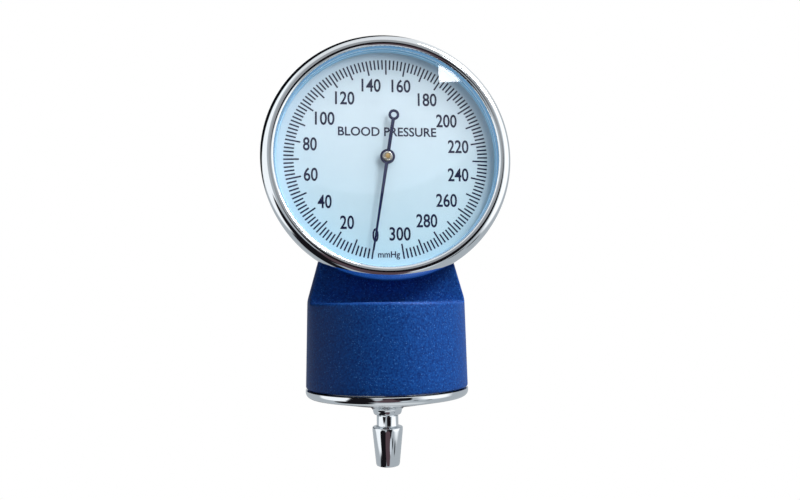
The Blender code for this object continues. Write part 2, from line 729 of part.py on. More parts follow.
def make_lifting_arm(sector_axis, bore):
    """A lever on the sector's arbor whose round finger rides on the push rod's cap."""
    low, high = ARM_LEVELS
    hub = turned_mesh("lifting_arm", rod_profile(SECTOR_HUB, low, high), SMALL)
    arm = piece("lifting_arm", hub, "steel", sector_axis)
    rest = Matrix.Rotation(-SECTOR_SWING / 2, 4, "Z")
    root, tip = ARM_HALF
    outline = [(0, root), (0, -root), (FINGER_ARM, -tip), (FINGER_ARM, tip)]
    bar = slab_mesh("arm_bar", outline, low + ARM_INSET[0], high - ARM_INSET[1])
    bar.transform(rest)
    combine(arm, helper("arm_bar", bar, sector_axis), "UNION")
    finger = turned_mesh("arm_finger", rod_profile(FINGER_RADIUS, low, FINGER_TOP), TINY)
    finger.transform(rest @ Matrix.Translation((FINGER_ARM, 0, 0)))
    combine(arm, helper("arm_finger", finger, sector_axis), "UNION")
    hole = turned_mesh("arm_bore", rod_profile(bore, low - OVERLAP, high + OVERLAP), TINY)
    combine(arm, helper("arm_bore", hole, sector_axis), "DIFFERENCE")


# Push rod, capsule and bottom fittings.


def make_push_rod(lift_axis, finger_low):
    """A rod from the capsule's boss to the lifting finger, with a foot and a polished cap."""
    cap_top = finger_low - GAP
    cap_low = cap_top - CAP_HEIGHT
    foot_radius, foot_edge, foot_top = ROD_FOOT
    foot = CAPSULE_BOSS_TOP + GAP
    rod = [
        (0, foot),
        (foot_radius, foot),
        (foot_radius, foot + foot_edge),
        (ROD_RADIUS, foot + foot_top),
        (ROD_RADIUS, cap_low - GAP),
        (0, cap_low - GAP),
    ]
    piece("push_rod", turned_mesh("push_rod", rod, SMALL), "steel", lift_axis)
    cap = [
        (0, cap_low),
        (CAP_RADIUS, cap_low),
        (CAP_RADIUS, cap_top - CAP_CHAMFER),
        (CAP_FLAT, cap_top),
        (0, cap_top),
    ]
    piece("push_rod_cap", turned_mesh("push_rod_cap", cap, SMALL), "nickel", lift_axis)


def make_rod_guide():
    """A flanged bush under the barrel's roof that keeps the push rod upright."""
    bore = ROD_RADIUS + GAP
    sleeve, sleeve_top = GUIDE_SLEEVE
    flange, thickness = GUIDE_FLANGE
    low = BARREL_ROOF - GAP - thickness
    profile = [
        (bore, low),
        (flange, low),
        (flange, BARREL_ROOF - GAP),
        (sleeve, BARREL_ROOF - GAP),
        (sleeve, sleeve_top),
        (bore, sleeve_top),
    ]
    piece("rod_guide", turned_mesh("rod_guide", profile, MEDIUM), "brass")


def disc_level(radius, inner_level, rim_level, inner_radius):
    """Height of a corrugated disc's middle surface: two waves, then a rise to the rim."""
    shoulder = CAPSULE_RADIUS - CAPSULE_SHOULDER
    if radius > shoulder:
        share = min(1.0, (radius - shoulder) / CAPSULE_RISE)
        return inner_level + (rim_level - inner_level) * share
    waves = math.sin(2 * math.tau * (radius - inner_radius) / (shoulder - inner_radius))
    return inner_level + CORRUGATION * waves


def disc_profile(inner_radius, inner_level, rim_level):
    """A thin corrugated disc, from the hole or boss out to a flat rim."""
    count = 10
    span = CAPSULE_RADIUS - inner_radius
    radii = [inner_radius + span * i / count for i in range(count + 1)]
    middle = [(r, disc_level(r, inner_level, rim_level, inner_radius)) for r in radii]
    half = DISC_THICKNESS / 2
    upper = [(r, z + half) for r, z in middle]
    lower = [(r, z - half) for r, z in middle]
    return upper, lower


def make_capsule():
    """Two corrugated discs that meet at the rim. The upper one carries the boss that lifts."""
    seam = (DISC_THICKNESS + GAP) / 2
    hole = SHANK_RADIUS + GAP
    low_level = CAPSULE_LOW + DISC_THICKNESS / 2
    upper, lower = disc_profile(hole, low_level, CAPSULE_SEAM - seam)
    mesh = turned_mesh("capsule_lower", upper + lower[::-1], SMALL)
    piece("capsule_lower", mesh, "bronze")
    upper, lower = disc_profile(CAPSULE_BOSS, CAPSULE_HIGH, CAPSULE_SEAM + seam)
    top = [(0, CAPSULE_BOSS_TOP), (CAPSULE_BOSS, CAPSULE_BOSS_TOP)]
    under = [(0, CAPSULE_HIGH - DISC_THICKNESS / 2)]
    mesh = turned_mesh("capsule_upper", top + upper + lower[::-1] + under, SMALL)
    piece("capsule_upper", mesh, "bronze")


def make_bottom_plate():
    """The turned plate that closes the barrel: a coned underside, a rim and a spigot."""
    hole = SHANK_RADIUS + GAP
    profile = [
        (hole, PLATE_BOSS),
        (BOSS_FACE, PLATE_BOSS),
        (BOSS_FLARE[0], PLATE_BOSS + BOSS_FLARE[1]),
        (BOSS_FOOT[0], PLATE_BOSS + BOSS_FOOT[1]),
        (CONE_START[0], PLATE_EDGE - CONE_START[1]),
        (PLATE_RADIUS - RIM_INSET[0], PLATE_EDGE),
        (PLATE_RADIUS - RIM_INSET[1], PLATE_EDGE + RIM_RISE[0]),
        (PLATE_RADIUS, PLATE_EDGE + RIM_RISE[1]),
        (PLATE_RADIUS, PLATE_TOP),
        (SPIGOT_BORE - GAP, PLATE_TOP),
        (SPIGOT_BORE - GAP, SPIGOT_TOP),
        (SPIGOT_INNER, SPIGOT_TOP),
        (PLATE_FLOOR_RADIUS, PLATE_FLOOR),
        (hole, PLATE_FLOOR),
    ]
    mesh = turned_mesh("bottom_plate", profile, LARGE)
    piece("bottom_plate", mesh, "chrome")
    seal = ring_profile(SPIGOT_INNER, SPIGOT_BORE - GAP, SPIGOT_TOP + GAP, SPIGOT_STEP - GAP)
    piece("bottom_gasket", turned_mesh("bottom_gasket", seal, MEDIUM), "rubber")


def make_nozzle():
    """A tapered hose barb on a stem, whose shank passes up through the plate."""
    shoulder = PLATE_BOSS - GAP
    profile = [
        (NOZZLE_BORE, 0),
        (MOUTH_RADIUS, 0),
        MOUTH_EDGE,
        (BARB_RADIUS, BARB_TOP - BARB_LAND),
        (BARB_RADIUS, BARB_TOP),
        (NOZZLE_STEM, BARB_TOP + BARB_SLOPE),
        (NOZZLE_STEM, shoulder),
        (SHANK_RADIUS, shoulder),
        (SHANK_RADIUS, SHANK_TOP),
        (NOZZLE_BORE, SHANK_TOP),
    ]
    piece("hose_nozzle", turned_mesh("hose_nozzle", profile, MEDIUM), "chrome")
    hole = SHANK_RADIUS + GAP
    low = PLATE_FLOOR + GAP
    washer_radius, thickness = WASHER
    high = low + thickness
    washer = ring_profile(hole, washer_radius, low, high)
    piece("inlet_washer", turned_mesh("inlet_washer", washer, SMALL), "rubber")
    outline = circle((0, 0), INLET_NUT_RADIUS, 6)
    nut = slab_mesh("inlet_nut", outline, high + GAP, CAPSULE_LOW - 2 * GAP)
    inlet_nut = piece("inlet_nut", nut, "brass")
    drill(inlet_nut, "inlet_nut_hole", (0, 0), hole, high, CAPSULE_LOW, None, SMALL)


def main():
    clear_scene()
    face = empty("face_frame", (0, 0, DIAL_HEIGHT), (math.pi / 2, 0, 0))
    pointer_axis = empty("pointer_axis", parent=face)
    centres = MODULE * (PINION_TEETH + SECTOR_WHOLE_TEETH) / 2 + CENTRE_PLAY
    pivot = (SECTOR_OFFSET, -math.sqrt(centres**2 - SECTOR_OFFSET**2))
    sector_axis = empty("sector_axis", (*pivot, 0), parent=face)
    lift_axis = empty("lift_axis")
    mesh_angle = math.atan2(-pivot[1], -pivot[0])
    finger_height = DIAL_HEIGHT + pivot[1] - FINGER_ARM * math.sin(SECTOR_SWING / 2)

    make_case(face)
    make_bezel(face)
    make_lens(face)
    make_dial(face)
    make_movement_plates(face, pivot)
    make_pillars(face)
    make_mount_screws(face)
    make_pointer_train(pointer_axis, mesh_angle)
    make_pointer(pointer_axis)
    make_hairspring(face)
    make_sector(sector_axis, mesh_angle)
    make_push_rod(lift_axis, finger_height - FINGER_RADIUS)
    make_rod_guide()
    make_capsule()
    make_bottom_plate()
    make_nozzle()
    bpy.context.view_layer.update()


main()
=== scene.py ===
"""Looks of an aneroid pressure gauge head: chrome bezel, clear lens, printed dial, navy casting.

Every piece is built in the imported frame's own place, in metres. Dial pieces are first drawn in
the dial's axes (x right, y up, z towards the reader) and then stood up by Bench.FACE.
"""

import json
import logging
import math
from dataclasses import dataclass, field
from enum import Enum

import bmesh
import bpy
from mathutils import Matrix, Vector


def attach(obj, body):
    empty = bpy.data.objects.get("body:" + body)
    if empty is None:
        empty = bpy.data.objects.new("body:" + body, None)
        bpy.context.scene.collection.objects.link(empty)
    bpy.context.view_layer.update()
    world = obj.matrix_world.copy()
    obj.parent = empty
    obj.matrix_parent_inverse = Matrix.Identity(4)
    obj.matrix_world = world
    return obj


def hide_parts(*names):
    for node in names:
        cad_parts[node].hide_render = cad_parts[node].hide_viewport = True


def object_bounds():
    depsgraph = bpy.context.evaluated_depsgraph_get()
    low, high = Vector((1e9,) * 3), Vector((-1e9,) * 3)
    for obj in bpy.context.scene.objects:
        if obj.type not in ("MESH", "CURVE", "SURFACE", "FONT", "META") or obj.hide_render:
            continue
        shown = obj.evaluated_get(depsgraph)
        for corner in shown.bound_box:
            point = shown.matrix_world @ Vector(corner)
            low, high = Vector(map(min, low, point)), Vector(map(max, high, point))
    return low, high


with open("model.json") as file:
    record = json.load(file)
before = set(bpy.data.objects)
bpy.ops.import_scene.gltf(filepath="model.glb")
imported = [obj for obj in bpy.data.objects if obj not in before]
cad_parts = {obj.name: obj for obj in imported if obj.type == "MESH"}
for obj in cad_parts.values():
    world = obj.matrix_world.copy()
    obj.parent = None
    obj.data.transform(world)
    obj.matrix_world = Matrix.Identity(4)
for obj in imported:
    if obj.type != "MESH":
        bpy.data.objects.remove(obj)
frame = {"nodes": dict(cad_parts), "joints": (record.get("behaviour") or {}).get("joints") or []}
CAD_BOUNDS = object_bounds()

LOG = logging.getLogger("gauge_head")
MM = 0.001
MERGE = 2e-6
SMOOTH_ANGLE = math.radians(32.0)
ACRYLIC_IOR = 1.49

Point = tuple[float, float]
Profile = list[Point]
Colour = tuple[float, float, float, float]
Stops = tuple[tuple[float, str], ...]

DIAL_CENTRE = Vector(
    next(joint["pos_m"] for joint in frame["joints"] if joint["name"] == "needle_turn")
)


class Bench(Enum):
    """The two axes that the object's pieces are turned about."""

    FACE = "face"
    BARREL = "barrel"

    @property
    def place(self) -> Matrix:
        """Matrix from the bench's own axes to the row frame."""
        if self is Bench.BARREL:
            return Matrix.Identity(4)
        return Matrix.Translation(DIAL_CENTRE) @ Matrix.Rotation(math.pi / 2, 4, "X")


class Body(Enum):
    """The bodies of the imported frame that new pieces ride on."""

    ROOT = "root"
    NEEDLE = "needle"


# Colour and node helpers.


def linear(code: str) -> Colour:
    """Turns an sRGB hex colour into linear values.

    Args:
        code: six hex digits, with or without a leading hash.

    Returns:
        Linear red, green, blue and an alpha of one.
    """
    digits = code.lstrip("#")
    values = [int(digits[i : i + 2], 16) / 255 for i in (0, 2, 4)]
    channels = [v / 12.92 if v <= 0.04045 else ((v + 0.055) / 1.055) ** 2.4 for v in values]
    return (*channels, 1.0)


def add(
    tree: bpy.types.NodeTree, kind: str, links: dict | None = None, **settings: object
) -> bpy.types.Node:
    """Adds a node with its inputs and its settings.

    Args:
        tree: the node tree to add to.
        kind: the node's type name.
        links: input names or numbers, each with a value, with the socket that feeds it, or with
            a node whose first output feeds it.
        settings: the node's attributes. A colour ramp takes its stops here too.

    Returns:
        The new node.
    """
    node = tree.nodes.new(kind)
    for number, (place, code) in enumerate(settings.pop("stops", ())):
        elements = node.color_ramp.elements
        element = elements[number] if number < len(elements) else elements.new(1.0)
        element.position = place
        element.color = linear(code)
    for name, value in settings.items():
        setattr(node, name, value)
    for name, value in (links or {}).items():
        source = value.outputs[0] if isinstance(value, bpy.types.Node) else value
        if isinstance(source, bpy.types.NodeSocket):
            tree.links.new(source, node.inputs[name])
        else:
            node.inputs[name].default_value = source
    return node


# Mesh helpers.


def elliptic_arc(centre: Point, radii: Point, start: float, end: float, steps: int) -> Profile:
    """Points along an arc of an ellipse.

    Args:
        centre: the arc's centre.
        radii: the ellipse's two radii.
        start: first angle in degrees.
        end: last angle in degrees.
        steps: how many stretches the arc is cut into.

    Returns:
        The points, both ends included.
    """
    angles = [math.radians(start + (end - start) * i / steps) for i in range(steps + 1)]
    return [
        (centre[0] + radii[0] * math.cos(a), centre[1] + radii[1] * math.sin(a)) for a in angles
    ]


def finished(name: str, bm: bmesh.types.BMesh, place: Matrix) -> bpy.types.Mesh:
    """Closes a mesh's seams, turns its faces outwards and puts it in place.

    Args:
        name: the mesh's name.
        bm: the mesh to finish, which is freed.
        place: matrix from the mesh's axes to the row frame.

    Returns:
        The mesh, shaded smooth with its real edges left sharp.
    """
    bmesh.ops.remove_doubles(bm, verts=bm.verts, dist=MERGE)
    bmesh.ops.dissolve_degenerate(bm, dist=MERGE / 2, edges=bm.edges)
    bm.transform(place)
    bmesh.ops.recalc_face_normals(bm, faces=bm.faces)
    mesh = bpy.data.meshes.new(name)
    bm.to_mesh(mesh)
    bm.free()
    shade(mesh)
    return mesh


def shade(mesh: bpy.types.Mesh) -> None:
    """Shades a mesh smooth and keeps the edges that turn further than a round surface does."""
    mesh.shade_smooth()
    mesh.set_sharp_from_angle(angle=SMOOTH_ANGLE)


def turned(
    name: str, profile: Profile, segments: int, bench: Bench, slots: list[int] | None = None
) -> bpy.types.Mesh:
    """Turns a closed profile about the bench's z axis.

    Args:
        name: the mesh's name.
        profile: points of radius and level, which start and end on the axis or form a loop.
        segments: how many steps go round.
        bench: the axis that it is turned on.
        slots: the material slot of each stretch of the profile, or None for the first slot.

    Returns:
        The closed mesh in the row frame.
    """
    bm = bmesh.new()
    turns = [math.tau * i / segments for i in range(segments)]
    rows = []
    for radius, level in profile:
        around = turns if radius > 0 else [0.0]
        rows.append(
            [bm.verts.new((radius * math.cos(t), radius * math.sin(t), level)) for t in around]
        )
    for number, row in enumerate(rows):
        following = rows[(number + 1) % len(rows)]
        if len(row) == 1 and len(following) == 1:
            continue
        for i in range(segments):
            j = (i + 1) % segments
            corners = [row[i % len(row)], row[j % len(row)]]
            corners += [following[j % len(following)], following[i % len(following)]]
            face = bm.faces.new(list(dict.fromkeys(corners)))
            face.material_index = slots[number] if slots else 0
    return finished(name, bm, bench.place)


def slab(name: str, outline: Profile, low: float, high: float, place: Matrix) -> bpy.types.Mesh:
    """Extrudes a closed outline between two levels.

    Args:
        name: the mesh's name.
        outline: the points of the outline.
        low: the lower level.
        high: the upper level.
        place: matrix from the outline's axes to the row frame.

    Returns:
        The closed mesh in the row frame.
    """
    bm = bmesh.new()
    lower = [bm.verts.new((x, y, low)) for x, y in outline]
    upper = [bm.verts.new((x, y, high)) for x, y in outline]
    bm.faces.new(lower[::-1])
    bm.faces.new(upper)
    for i in range(len(outline)):
        j = (i + 1) % len(outline)
        bm.faces.new((lower[i], lower[j], upper[j], upper[i]))
    return finished(name, bm, place)


def link(name: str, data: bpy.types.ID) -> bpy.types.Object:
    """Makes an object of a mesh, a curve, a camera or a lamp and links it to the scene."""
    made = bpy.data.objects.new(name, data)
    bpy.context.scene.collection.objects.link(made)
    return made


def filled(curve: bpy.types.Curve) -> bpy.types.Mesh:
    """Turns a flat curve or a line of type into its own mesh.

    Args:
        curve: the curve or the type.

    Returns:
        The mesh.
    """
    holder = link("filled", curve)
    graph = bpy.context.evaluated_depsgraph_get()
    mesh = bpy.data.meshes.new_from_object(holder.evaluated_get(graph))
    bpy.data.objects.remove(holder)
    return mesh


def flatten(target: bpy.types.Object) -> None:
    """Turns the evaluated shape of an object into its own plain mesh and drops its modifiers."""
    graph = bpy.context.evaluated_depsgraph_get()
    mesh = bpy.data.meshes.new_from_object(target.evaluated_get(graph))
    target.modifiers.clear()
    target.data = mesh


def combine(target: bpy.types.Object, mesh: bpy.types.Mesh, operation: str) -> None:
    """Joins a mesh to an object, or cuts it out.

    Args:
        target: the object that keeps the result.
        mesh: the closed mesh to join or cut with.
        operation: UNION or DIFFERENCE.
    """
    tool = link("tool", mesh)
    boolean = target.modifiers.new("combine", "BOOLEAN")
    boolean.operation = operation
    boolean.solver = "EXACT"
    boolean.object = tool
    flatten(target)
    bpy.data.objects.remove(tool)


# Finishes.


@dataclass(frozen=True)
class Grain:
    """An uneven pattern of a real size, laid on the object coordinates.

    Its size is one lump in metres, its detail is how much finer pattern lies on that, and its
    stretch is how many times each axis is drawn out.
    """

    size: float
    detail: float = 2.0
    stretch: tuple[float, float, float] | None = None

    def lay(self, tree: bpy.types.NodeTree) -> bpy.types.Node:
        """Adds the pattern to a material.

        Args:
            tree: the material's node tree.

        Returns:
            The node whose first output runs from 0 to 1.
        """
        place = add(tree, "ShaderNodeTexCoord").outputs["Object"]
        if self.stretch:
            scale = [1 / times for times in self.stretch]
            place = add(tree, "ShaderNodeMapping", {"Vector": place, "Scale": scale})
        links = {"Vector": place, "Scale": 1 / self.size, "Detail": self.detail}
        return add(tree, "ShaderNodeTexNoise", links)


@dataclass(frozen=True)
class Finish:
    """A surface as it is really made. Each kind says how it is shaded."""

    name: str

    def shader(self, tree: bpy.types.NodeTree) -> bpy.types.Node:
        """Builds the finish in a material's tree and returns its shader node."""
        raise NotImplementedError

    def material(self) -> bpy.types.Material:
        """Builds the finish's material the first time that it is asked for.

        Returns:
            The material.
        """
        found = bpy.data.materials.get(self.name)
        if found:
            return found
        made = bpy.data.materials.new(self.name)
        made.use_nodes = True
        made.node_tree.nodes.clear()
        add(made.node_tree, "ShaderNodeOutputMaterial", {0: self.shader(made.node_tree)})
        return made

    def skin(
        self,
        tree: bpy.types.NodeTree,
        pattern: bpy.types.Node,
        roughness: Point,
        depth: float,
        links: dict,
        under: bpy.types.Node | None = None,
    ) -> bpy.types.Node:
        """Adds a surface whose gloss and relief follow one pattern.

        Args:
            tree: the material's node tree.
            pattern: the pattern.
            roughness: the roughness at the pattern's 0 and at its 1.
            depth: the height of the relief in metres.
            links: the other inputs of the surface.
            under: a coarser relief that it lies on, if there is one.

        Returns:
            The shader node.
        """
        low, high = roughness
        rough = add(tree, "ShaderNodeMapRange", {"Value": pattern, "To Min": low, "To Max": high})
        heights = {"Height": pattern, "Distance": depth}
        if under:
            heights["Normal"] = under
        relief = add(tree, "ShaderNodeBump", heights)
        links = {"Roughness": rough, "Normal": relief, **links}
        return add(tree, "ShaderNodeBsdfPrincipled", links)

    def graded(
        self,
        tree: bpy.types.NodeTree,
        axis: str,
        ends: Point,
        uneven: Grain,
        reach: float,
        stops: Stops,
    ) -> bpy.types.Node:
        """Adds a colour that changes along one axis, a little unevenly.

        Args:
            tree: the material's node tree.
            axis: X, Y or Z.
            ends: where along the axis the stops begin and end, in metres.
            uneven: the pattern that shifts the stops.
            reach: how far it shifts them, as a share of the whole.
            stops: places from 0 to 1 with their hex colours.

        Returns:
            The node whose first output is the colour.
        """
        place = add(tree, "ShaderNodeTexCoord").outputs["Object"]
        axes = add(tree, "ShaderNodeSeparateXYZ", {0: place})
        start, end = ends
        links = {"Value": axes.outputs[axis], "From Min": start, "From Max": end}
        share = add(tree, "ShaderNodeMapRange", links)
        links = {"Value": uneven.lay(tree), "To Min": -reach, "To Max": reach}
        shift = add(tree, "ShaderNodeMapRange", links)
        moved = add(tree, "ShaderNodeMath", {0: share, 1: shift}, operation="ADD")
        return add(tree, "ShaderNodeValToRGB", {0: moved}, stops=stops)


@dataclass(frozen=True)
class FlakeLacquer(Finish):
    """Navy flake lacquer, sprayed over a grained zinc casting and baked.

    The grain's small lit and dark cells are painted light and painted shade in the colour, over the
    grain's own relief.
    The flakes add paler specks, partly their own tone and partly a painted glint, and the lacquer's
    own gloss stays low.
    A slight orange peel lies under the grain.
    """

    # Painted shade and painted light: the colours of the grain's shaded and lit cells.
    deep: str = "#093379"
    lit: str = "#1856aa"
    # The flakes' specks: their own paler tone, with a painted glint in it.
    speck: str = "#4078c6"
    grain: Grain = Grain(0.42 * MM, 3.0)
    grain_depth: float = 0.030 * MM
    flake: float = 0.17 * MM
    peel: Grain = Grain(1.6 * MM)
    peel_depth: float = 0.020 * MM
    flake_stops: Stops = ((0.95, "#000000"), (0.99, "#ffffff"))
    roughness: Point = (0.40, 0.56)
    metallic: float = 0.08
    specular: float = 0.15

    def shader(self, tree: bpy.types.NodeTree) -> bpy.types.Node:
        """Builds the lacquer.

        Args:
            tree: the material's node tree.

        Returns:
            The shader node.
        """
        cells = self.grain.lay(tree)
        # Painted light and shade: each grain cell is coloured as lit or as shaded.
        stops = ((0.32, self.deep), (0.68, self.lit))
        body = add(tree, "ShaderNodeValToRGB", {0: cells}, stops=stops)
        place = add(tree, "ShaderNodeTexCoord").outputs["Object"]
        flake = add(tree, "ShaderNodeTexVoronoi", {"Vector": place, "Scale": 1 / self.flake})
        chance = add(tree, "ShaderNodeSeparateColor", {0: flake.outputs["Color"]})
        bright = add(tree, "ShaderNodeValToRGB", {0: chance}, stops=self.flake_stops)
        # Paler flake specks: partly the flakes' own tone, partly a painted glint.
        links = {"Factor": bright, 6: body, 7: linear(self.speck)}
        mixed = add(tree, "ShaderNodeMix", links, data_type="RGBA")
        links = {"Height": self.peel.lay(tree), "Distance": self.peel_depth}
        peel = add(tree, "ShaderNodeBump", links)
        links = {
            "Base Color": mixed.outputs[2],
            "Metallic": self.metallic,
            "Specular IOR Level": self.specular,
        }
        return self.skin(tree, cells, self.roughness, self.grain_depth, links, peel)


@dataclass(frozen=True)
class ChromePlate(Finish):
    """Bright chromium plate on turned or spun brass.

    It mirrors the room almost cleanly. The buffed brass under it is never quite true, so long
    reflections waver, and fine buffing marks soften them a little.
    """

    colour: str = "#e2e6e9"
    waver: Grain = Grain(5.0 * MM, 0.0)
    waver_depth: float = 0.010 * MM
    buffing: Grain = Grain(0.25 * MM)
    roughness: Point = (0.03, 0.09)

    def shader(self, tree: bpy.types.NodeTree) -> bpy.types.Node:
        """Builds the chrome.

        Args:
            tree: the material's node tree.

        Returns:
            The shader node.
        """
        low, high = self.roughness
        links = {"Value": self.buffing.lay(tree), "To Min": low, "To Max": high}
        rough = add(tree, "ShaderNodeMapRange", links)
        links = {"Height": self.waver.lay(tree), "Distance": self.waver_depth}
        links = {
            "Base Color": linear(self.colour),
            "Metallic": 1.0,
            "Roughness": rough,
            "Normal": add(tree, "ShaderNodeBump", links),
        }
        return add(tree, "ShaderNodeBsdfPrincipled", links)


@dataclass(frozen=True)
class ClearAcrylic(Finish):
    """Injection-moulded clear acrylic, polished.

    It shows the dial unbent, with a thin mirror of the lamps over it and a faint moulding ripple.
    """

    body: str = "#fefefe"
    shadow: str = "#fcfdfd"
    ior: float = ACRYLIC_IOR
    ripple: Grain = Grain(14.0 * MM, 0.0)
    ripple_depth: float = 0.010 * MM

    def shader(self, tree: bpy.types.NodeTree) -> bpy.types.Node:
        """Builds the acrylic, which lets lamps through to the dial.

        Args:
            tree: the material's node tree.

        Returns:
            The shader node.
        """
        links = {"Height": self.ripple.lay(tree), "Distance": self.ripple_depth}
        links = {
            "Base Color": linear(self.body),
            "Roughness": 0.0,
            "IOR": self.ior,
            "Transmission Weight": 1.0,
            "Normal": add(tree, "ShaderNodeBump", links),
        }
        glass = add(tree, "ShaderNodeBsdfPrincipled", links)
        clear = add(tree, "ShaderNodeBsdfTransparent", {"Color": linear(self.shadow)})
        shade_ray = add(tree, "ShaderNodeLightPath").outputs["Is Shadow Ray"]
        return add(tree, "ShaderNodeMixShader", {0: shade_ray, 1: glass, 2: clear})


@dataclass(frozen=True)
class MouldedWall(Finish):
    """The side wall of the acrylic cap, as moulded and not polished.

    Its colour is painted reflection: bands along its depth stand in for the blue of the dial and of
    the casting seen in and through it.
    It also glows in the same bands, a painted glow, though it is no lamp.
    """

    front: float = 0.0
    rear: float = 1.0
    # Painted reflection: the blue of the dial and of the casting as seen in the wall, from front to
    # rear.
    bands: Stops = (
        (0.05, "#dcebf4"),
        (0.22, "#6a9dbe"),
        (0.45, "#5b93b8"),
        (0.66, "#9cc4da"),
        (0.82, "#4a84aa"),
        (0.98, "#8fbad2"),
    )
    streaks: Grain = Grain(0.9 * MM, 1.0, (9.0, 1.0, 9.0))
    streak_reach: float = 0.04
    roughness: float = 0.3
    specular: float = 0.2
    # Painted glow: how strongly the wall shines with its painted bands.
    gathered: float = 0.35

    def shader(self, tree: bpy.types.NodeTree) -> bpy.types.Node:
        """Builds the wall, with painted reflection in bands from its front to its rear and a
        painted glow.

        Args:
            tree: the material's node tree.

        Returns:
            The shader node.
        """
        ends = (self.front, self.rear)
        bands = self.graded(tree, "Y", ends, self.streaks, self.streak_reach, self.bands)
        # The painted reflection bands are both the wall's colour and its painted glow.
        links = {
            "Base Color": bands,
            "Roughness": self.roughness,
            "IOR": ACRYLIC_IOR,
            "Specular IOR Level": self.specular,
            "Emission Color": bands,
            "Emission Strength": self.gathered,
        }
        return add(tree, "ShaderNodeBsdfPrincipled", links)


@dataclass(frozen=True)
class DialEnamel(Finish):
    """Pale blue stove enamel on an aluminium disc, silk-screened over.

    It is even and nearly matt. Its colour is painted lighter towards the head of the dial and
    deeper towards the foot, painted light that stands in for the lens's reflection over the upper
    dial.
    """

    # The head and foot colours of the painted light grade.
    upper: str = "#bfd0db"
    lower: str = "#a5c3d1"
    foot: float = 0.0
    head: float = 1.0
    clouds: Grain = Grain(6.0 * MM, 3.0)
    cloud_reach: float = 0.05
    stipple: Grain = Grain(0.12 * MM)
    stipple_depth: float = 0.002 * MM
    roughness: Point = (0.42, 0.58)

    def shader(self, tree: bpy.types.NodeTree) -> bpy.types.Node:
        """Builds the enamel.

        Args:
            tree: the material's node tree.

        Returns:
            The shader node.
        """
        ends = (self.foot, self.head)
        # Painted light: lighter towards the head of the dial, deeper towards the foot.
        stops = ((0.1, self.lower), (0.7, self.upper))
        colour = self.graded(tree, "Z", ends, self.clouds, self.cloud_reach, stops)
        stipple = self.stipple.lay(tree)
        links = {"Base Color": colour}
        return self.skin(tree, stipple, self.roughness, self.stipple_depth, links)


@dataclass(frozen=True)
class DarkCoat(Finish):
    """A thin dark coat, such as screen ink or needle lacquer. Its tone is a little uneven."""

    colour: str
    thin: str
    gloss: float
    gloss_reach: float = 0.08
    specular: float = 0.2
    cover: Grain = Grain(0.25 * MM, 3.0)
    depth: float = 0.002 * MM

    def shader(self, tree: bpy.types.NodeTree) -> bpy.types.Node:
        """Builds the coat.

        Args:
            tree: the material's node tree.

        Returns:
            The shader node.
        """
        cover = self.cover.lay(tree)
        stops = ((0.35, self.colour), (0.75, self.thin))
        colour = add(tree, "ShaderNodeValToRGB", {0: cover}, stops=stops)
        roughness = (self.gloss - self.gloss_reach, self.gloss + self.gloss_reach)
        links = {"Base Color": colour, "Specular IOR Level": self.specular}
        return self.skin(tree, cover, roughness, self.depth, links)


@dataclass(frozen=True)
class BareMetal(Finish):
    """Bare turned, stamped or drawn metal. Tool marks run along one axis and tarnish clouds it."""

    bright: str
    tarnish: str
    roughness: float
    smoother: float = 0.07
    rougher: float = 0.10
    marks: Grain = Grain(0.12 * MM, 2.0, (8.0, 1.0, 8.0))
    marks_depth: float = 0.003 * MM
    clouds: Grain = Grain(2.5 * MM, 4.0)

    def shader(self, tree: bpy.types.NodeTree) -> bpy.types.Node:
        """Builds the metal.

        Args:
            tree: the material's node tree.

        Returns:
            The shader node.
        """
        stops = ((0.35, self.tarnish), (0.65, self.bright))
        colour = add(tree, "ShaderNodeValToRGB", {0: self.clouds.lay(tree)}, stops=stops)
        roughness = (self.roughness - self.smoother, self.roughness + self.rougher)
        links = {"Base Color": colour, "Metallic": 1.0}
        return self.skin(tree, self.marks.lay(tree), roughness, self.marks_depth, links)


@dataclass(frozen=True)
class SealRubber(Finish):
    """Black nitrile rubber, moulded. It is dull, with a dusty bloom."""

    black: str = "#141415"
    bloom: str = "#2b2b2d"
    dust: Grain = Grain(0.6 * MM, 5.0)
    dust_depth: float = 0.01 * MM
    roughness: Point = (0.65, 0.85)

    def shader(self, tree: bpy.types.NodeTree) -> bpy.types.Node:
        """Builds the rubber.

        Args:
            tree: the material's node tree.

        Returns:
            The shader node.
        """
        dust = self.dust.lay(tree)
        stops = ((0.4, self.black), (0.8, self.bloom))
        links = {"Base Color": add(tree, "ShaderNodeValToRGB", {0: dust}, stops=stops)}
        return self.skin(tree, dust, self.roughness, self.dust_depth, links)


@dataclass(frozen=True)
class FloorPaper(Finish):
    """Seamless studio paper, matt. It bounces a little grey light and is seen as plain white."""

    tint: str = "#6c6e70"

    def shader(self, tree: bpy.types.NodeTree) -> bpy.types.Node:
        """Builds the paper.

        Args:
            tree: the material's node tree.

        Returns:
            The shader node.
        """
        seen = add(tree, "ShaderNodeLightPath").outputs["Is Camera Ray"]
        paper = add(tree, "ShaderNodeBsdfDiffuse", {"Color": linear(self.tint)})
        glow = add(tree, "ShaderNodeEmission", {"Color": linear("#ffffff")})
        return add(tree, "ShaderNodeMixShader", {0: seen, 1: paper, 2: glow})


LACQUER = FlakeLacquer("navy_flake_lacquer")
CHROME = ChromePlate("chromium_plate")
ACRYLIC = ClearAcrylic("clear_acrylic")
INK = DarkCoat("screen_ink", "#0a0f30", "#131a42", 0.6)
NEEDLE_LACQUER = DarkCoat("needle_lacquer", "#0b1030", "#141b44", 0.32)
NICKEL = BareMetal("turned_nickel", "#f0eee6", "#cfccc2", 0.18)
BRASS = BareMetal("stamped_brass", "#cdb079", "#94763f", 0.28)
BRONZE = BareMetal("pressed_bronze", "#c99063", "#93603b", 0.33)
STEEL = BareMetal("drawn_steel", "#b9bcc0", "#8f9296", 0.30)
RUBBER = SealRubber("nitrile_rubber")
PAPER = FloorPaper("floor_paper")


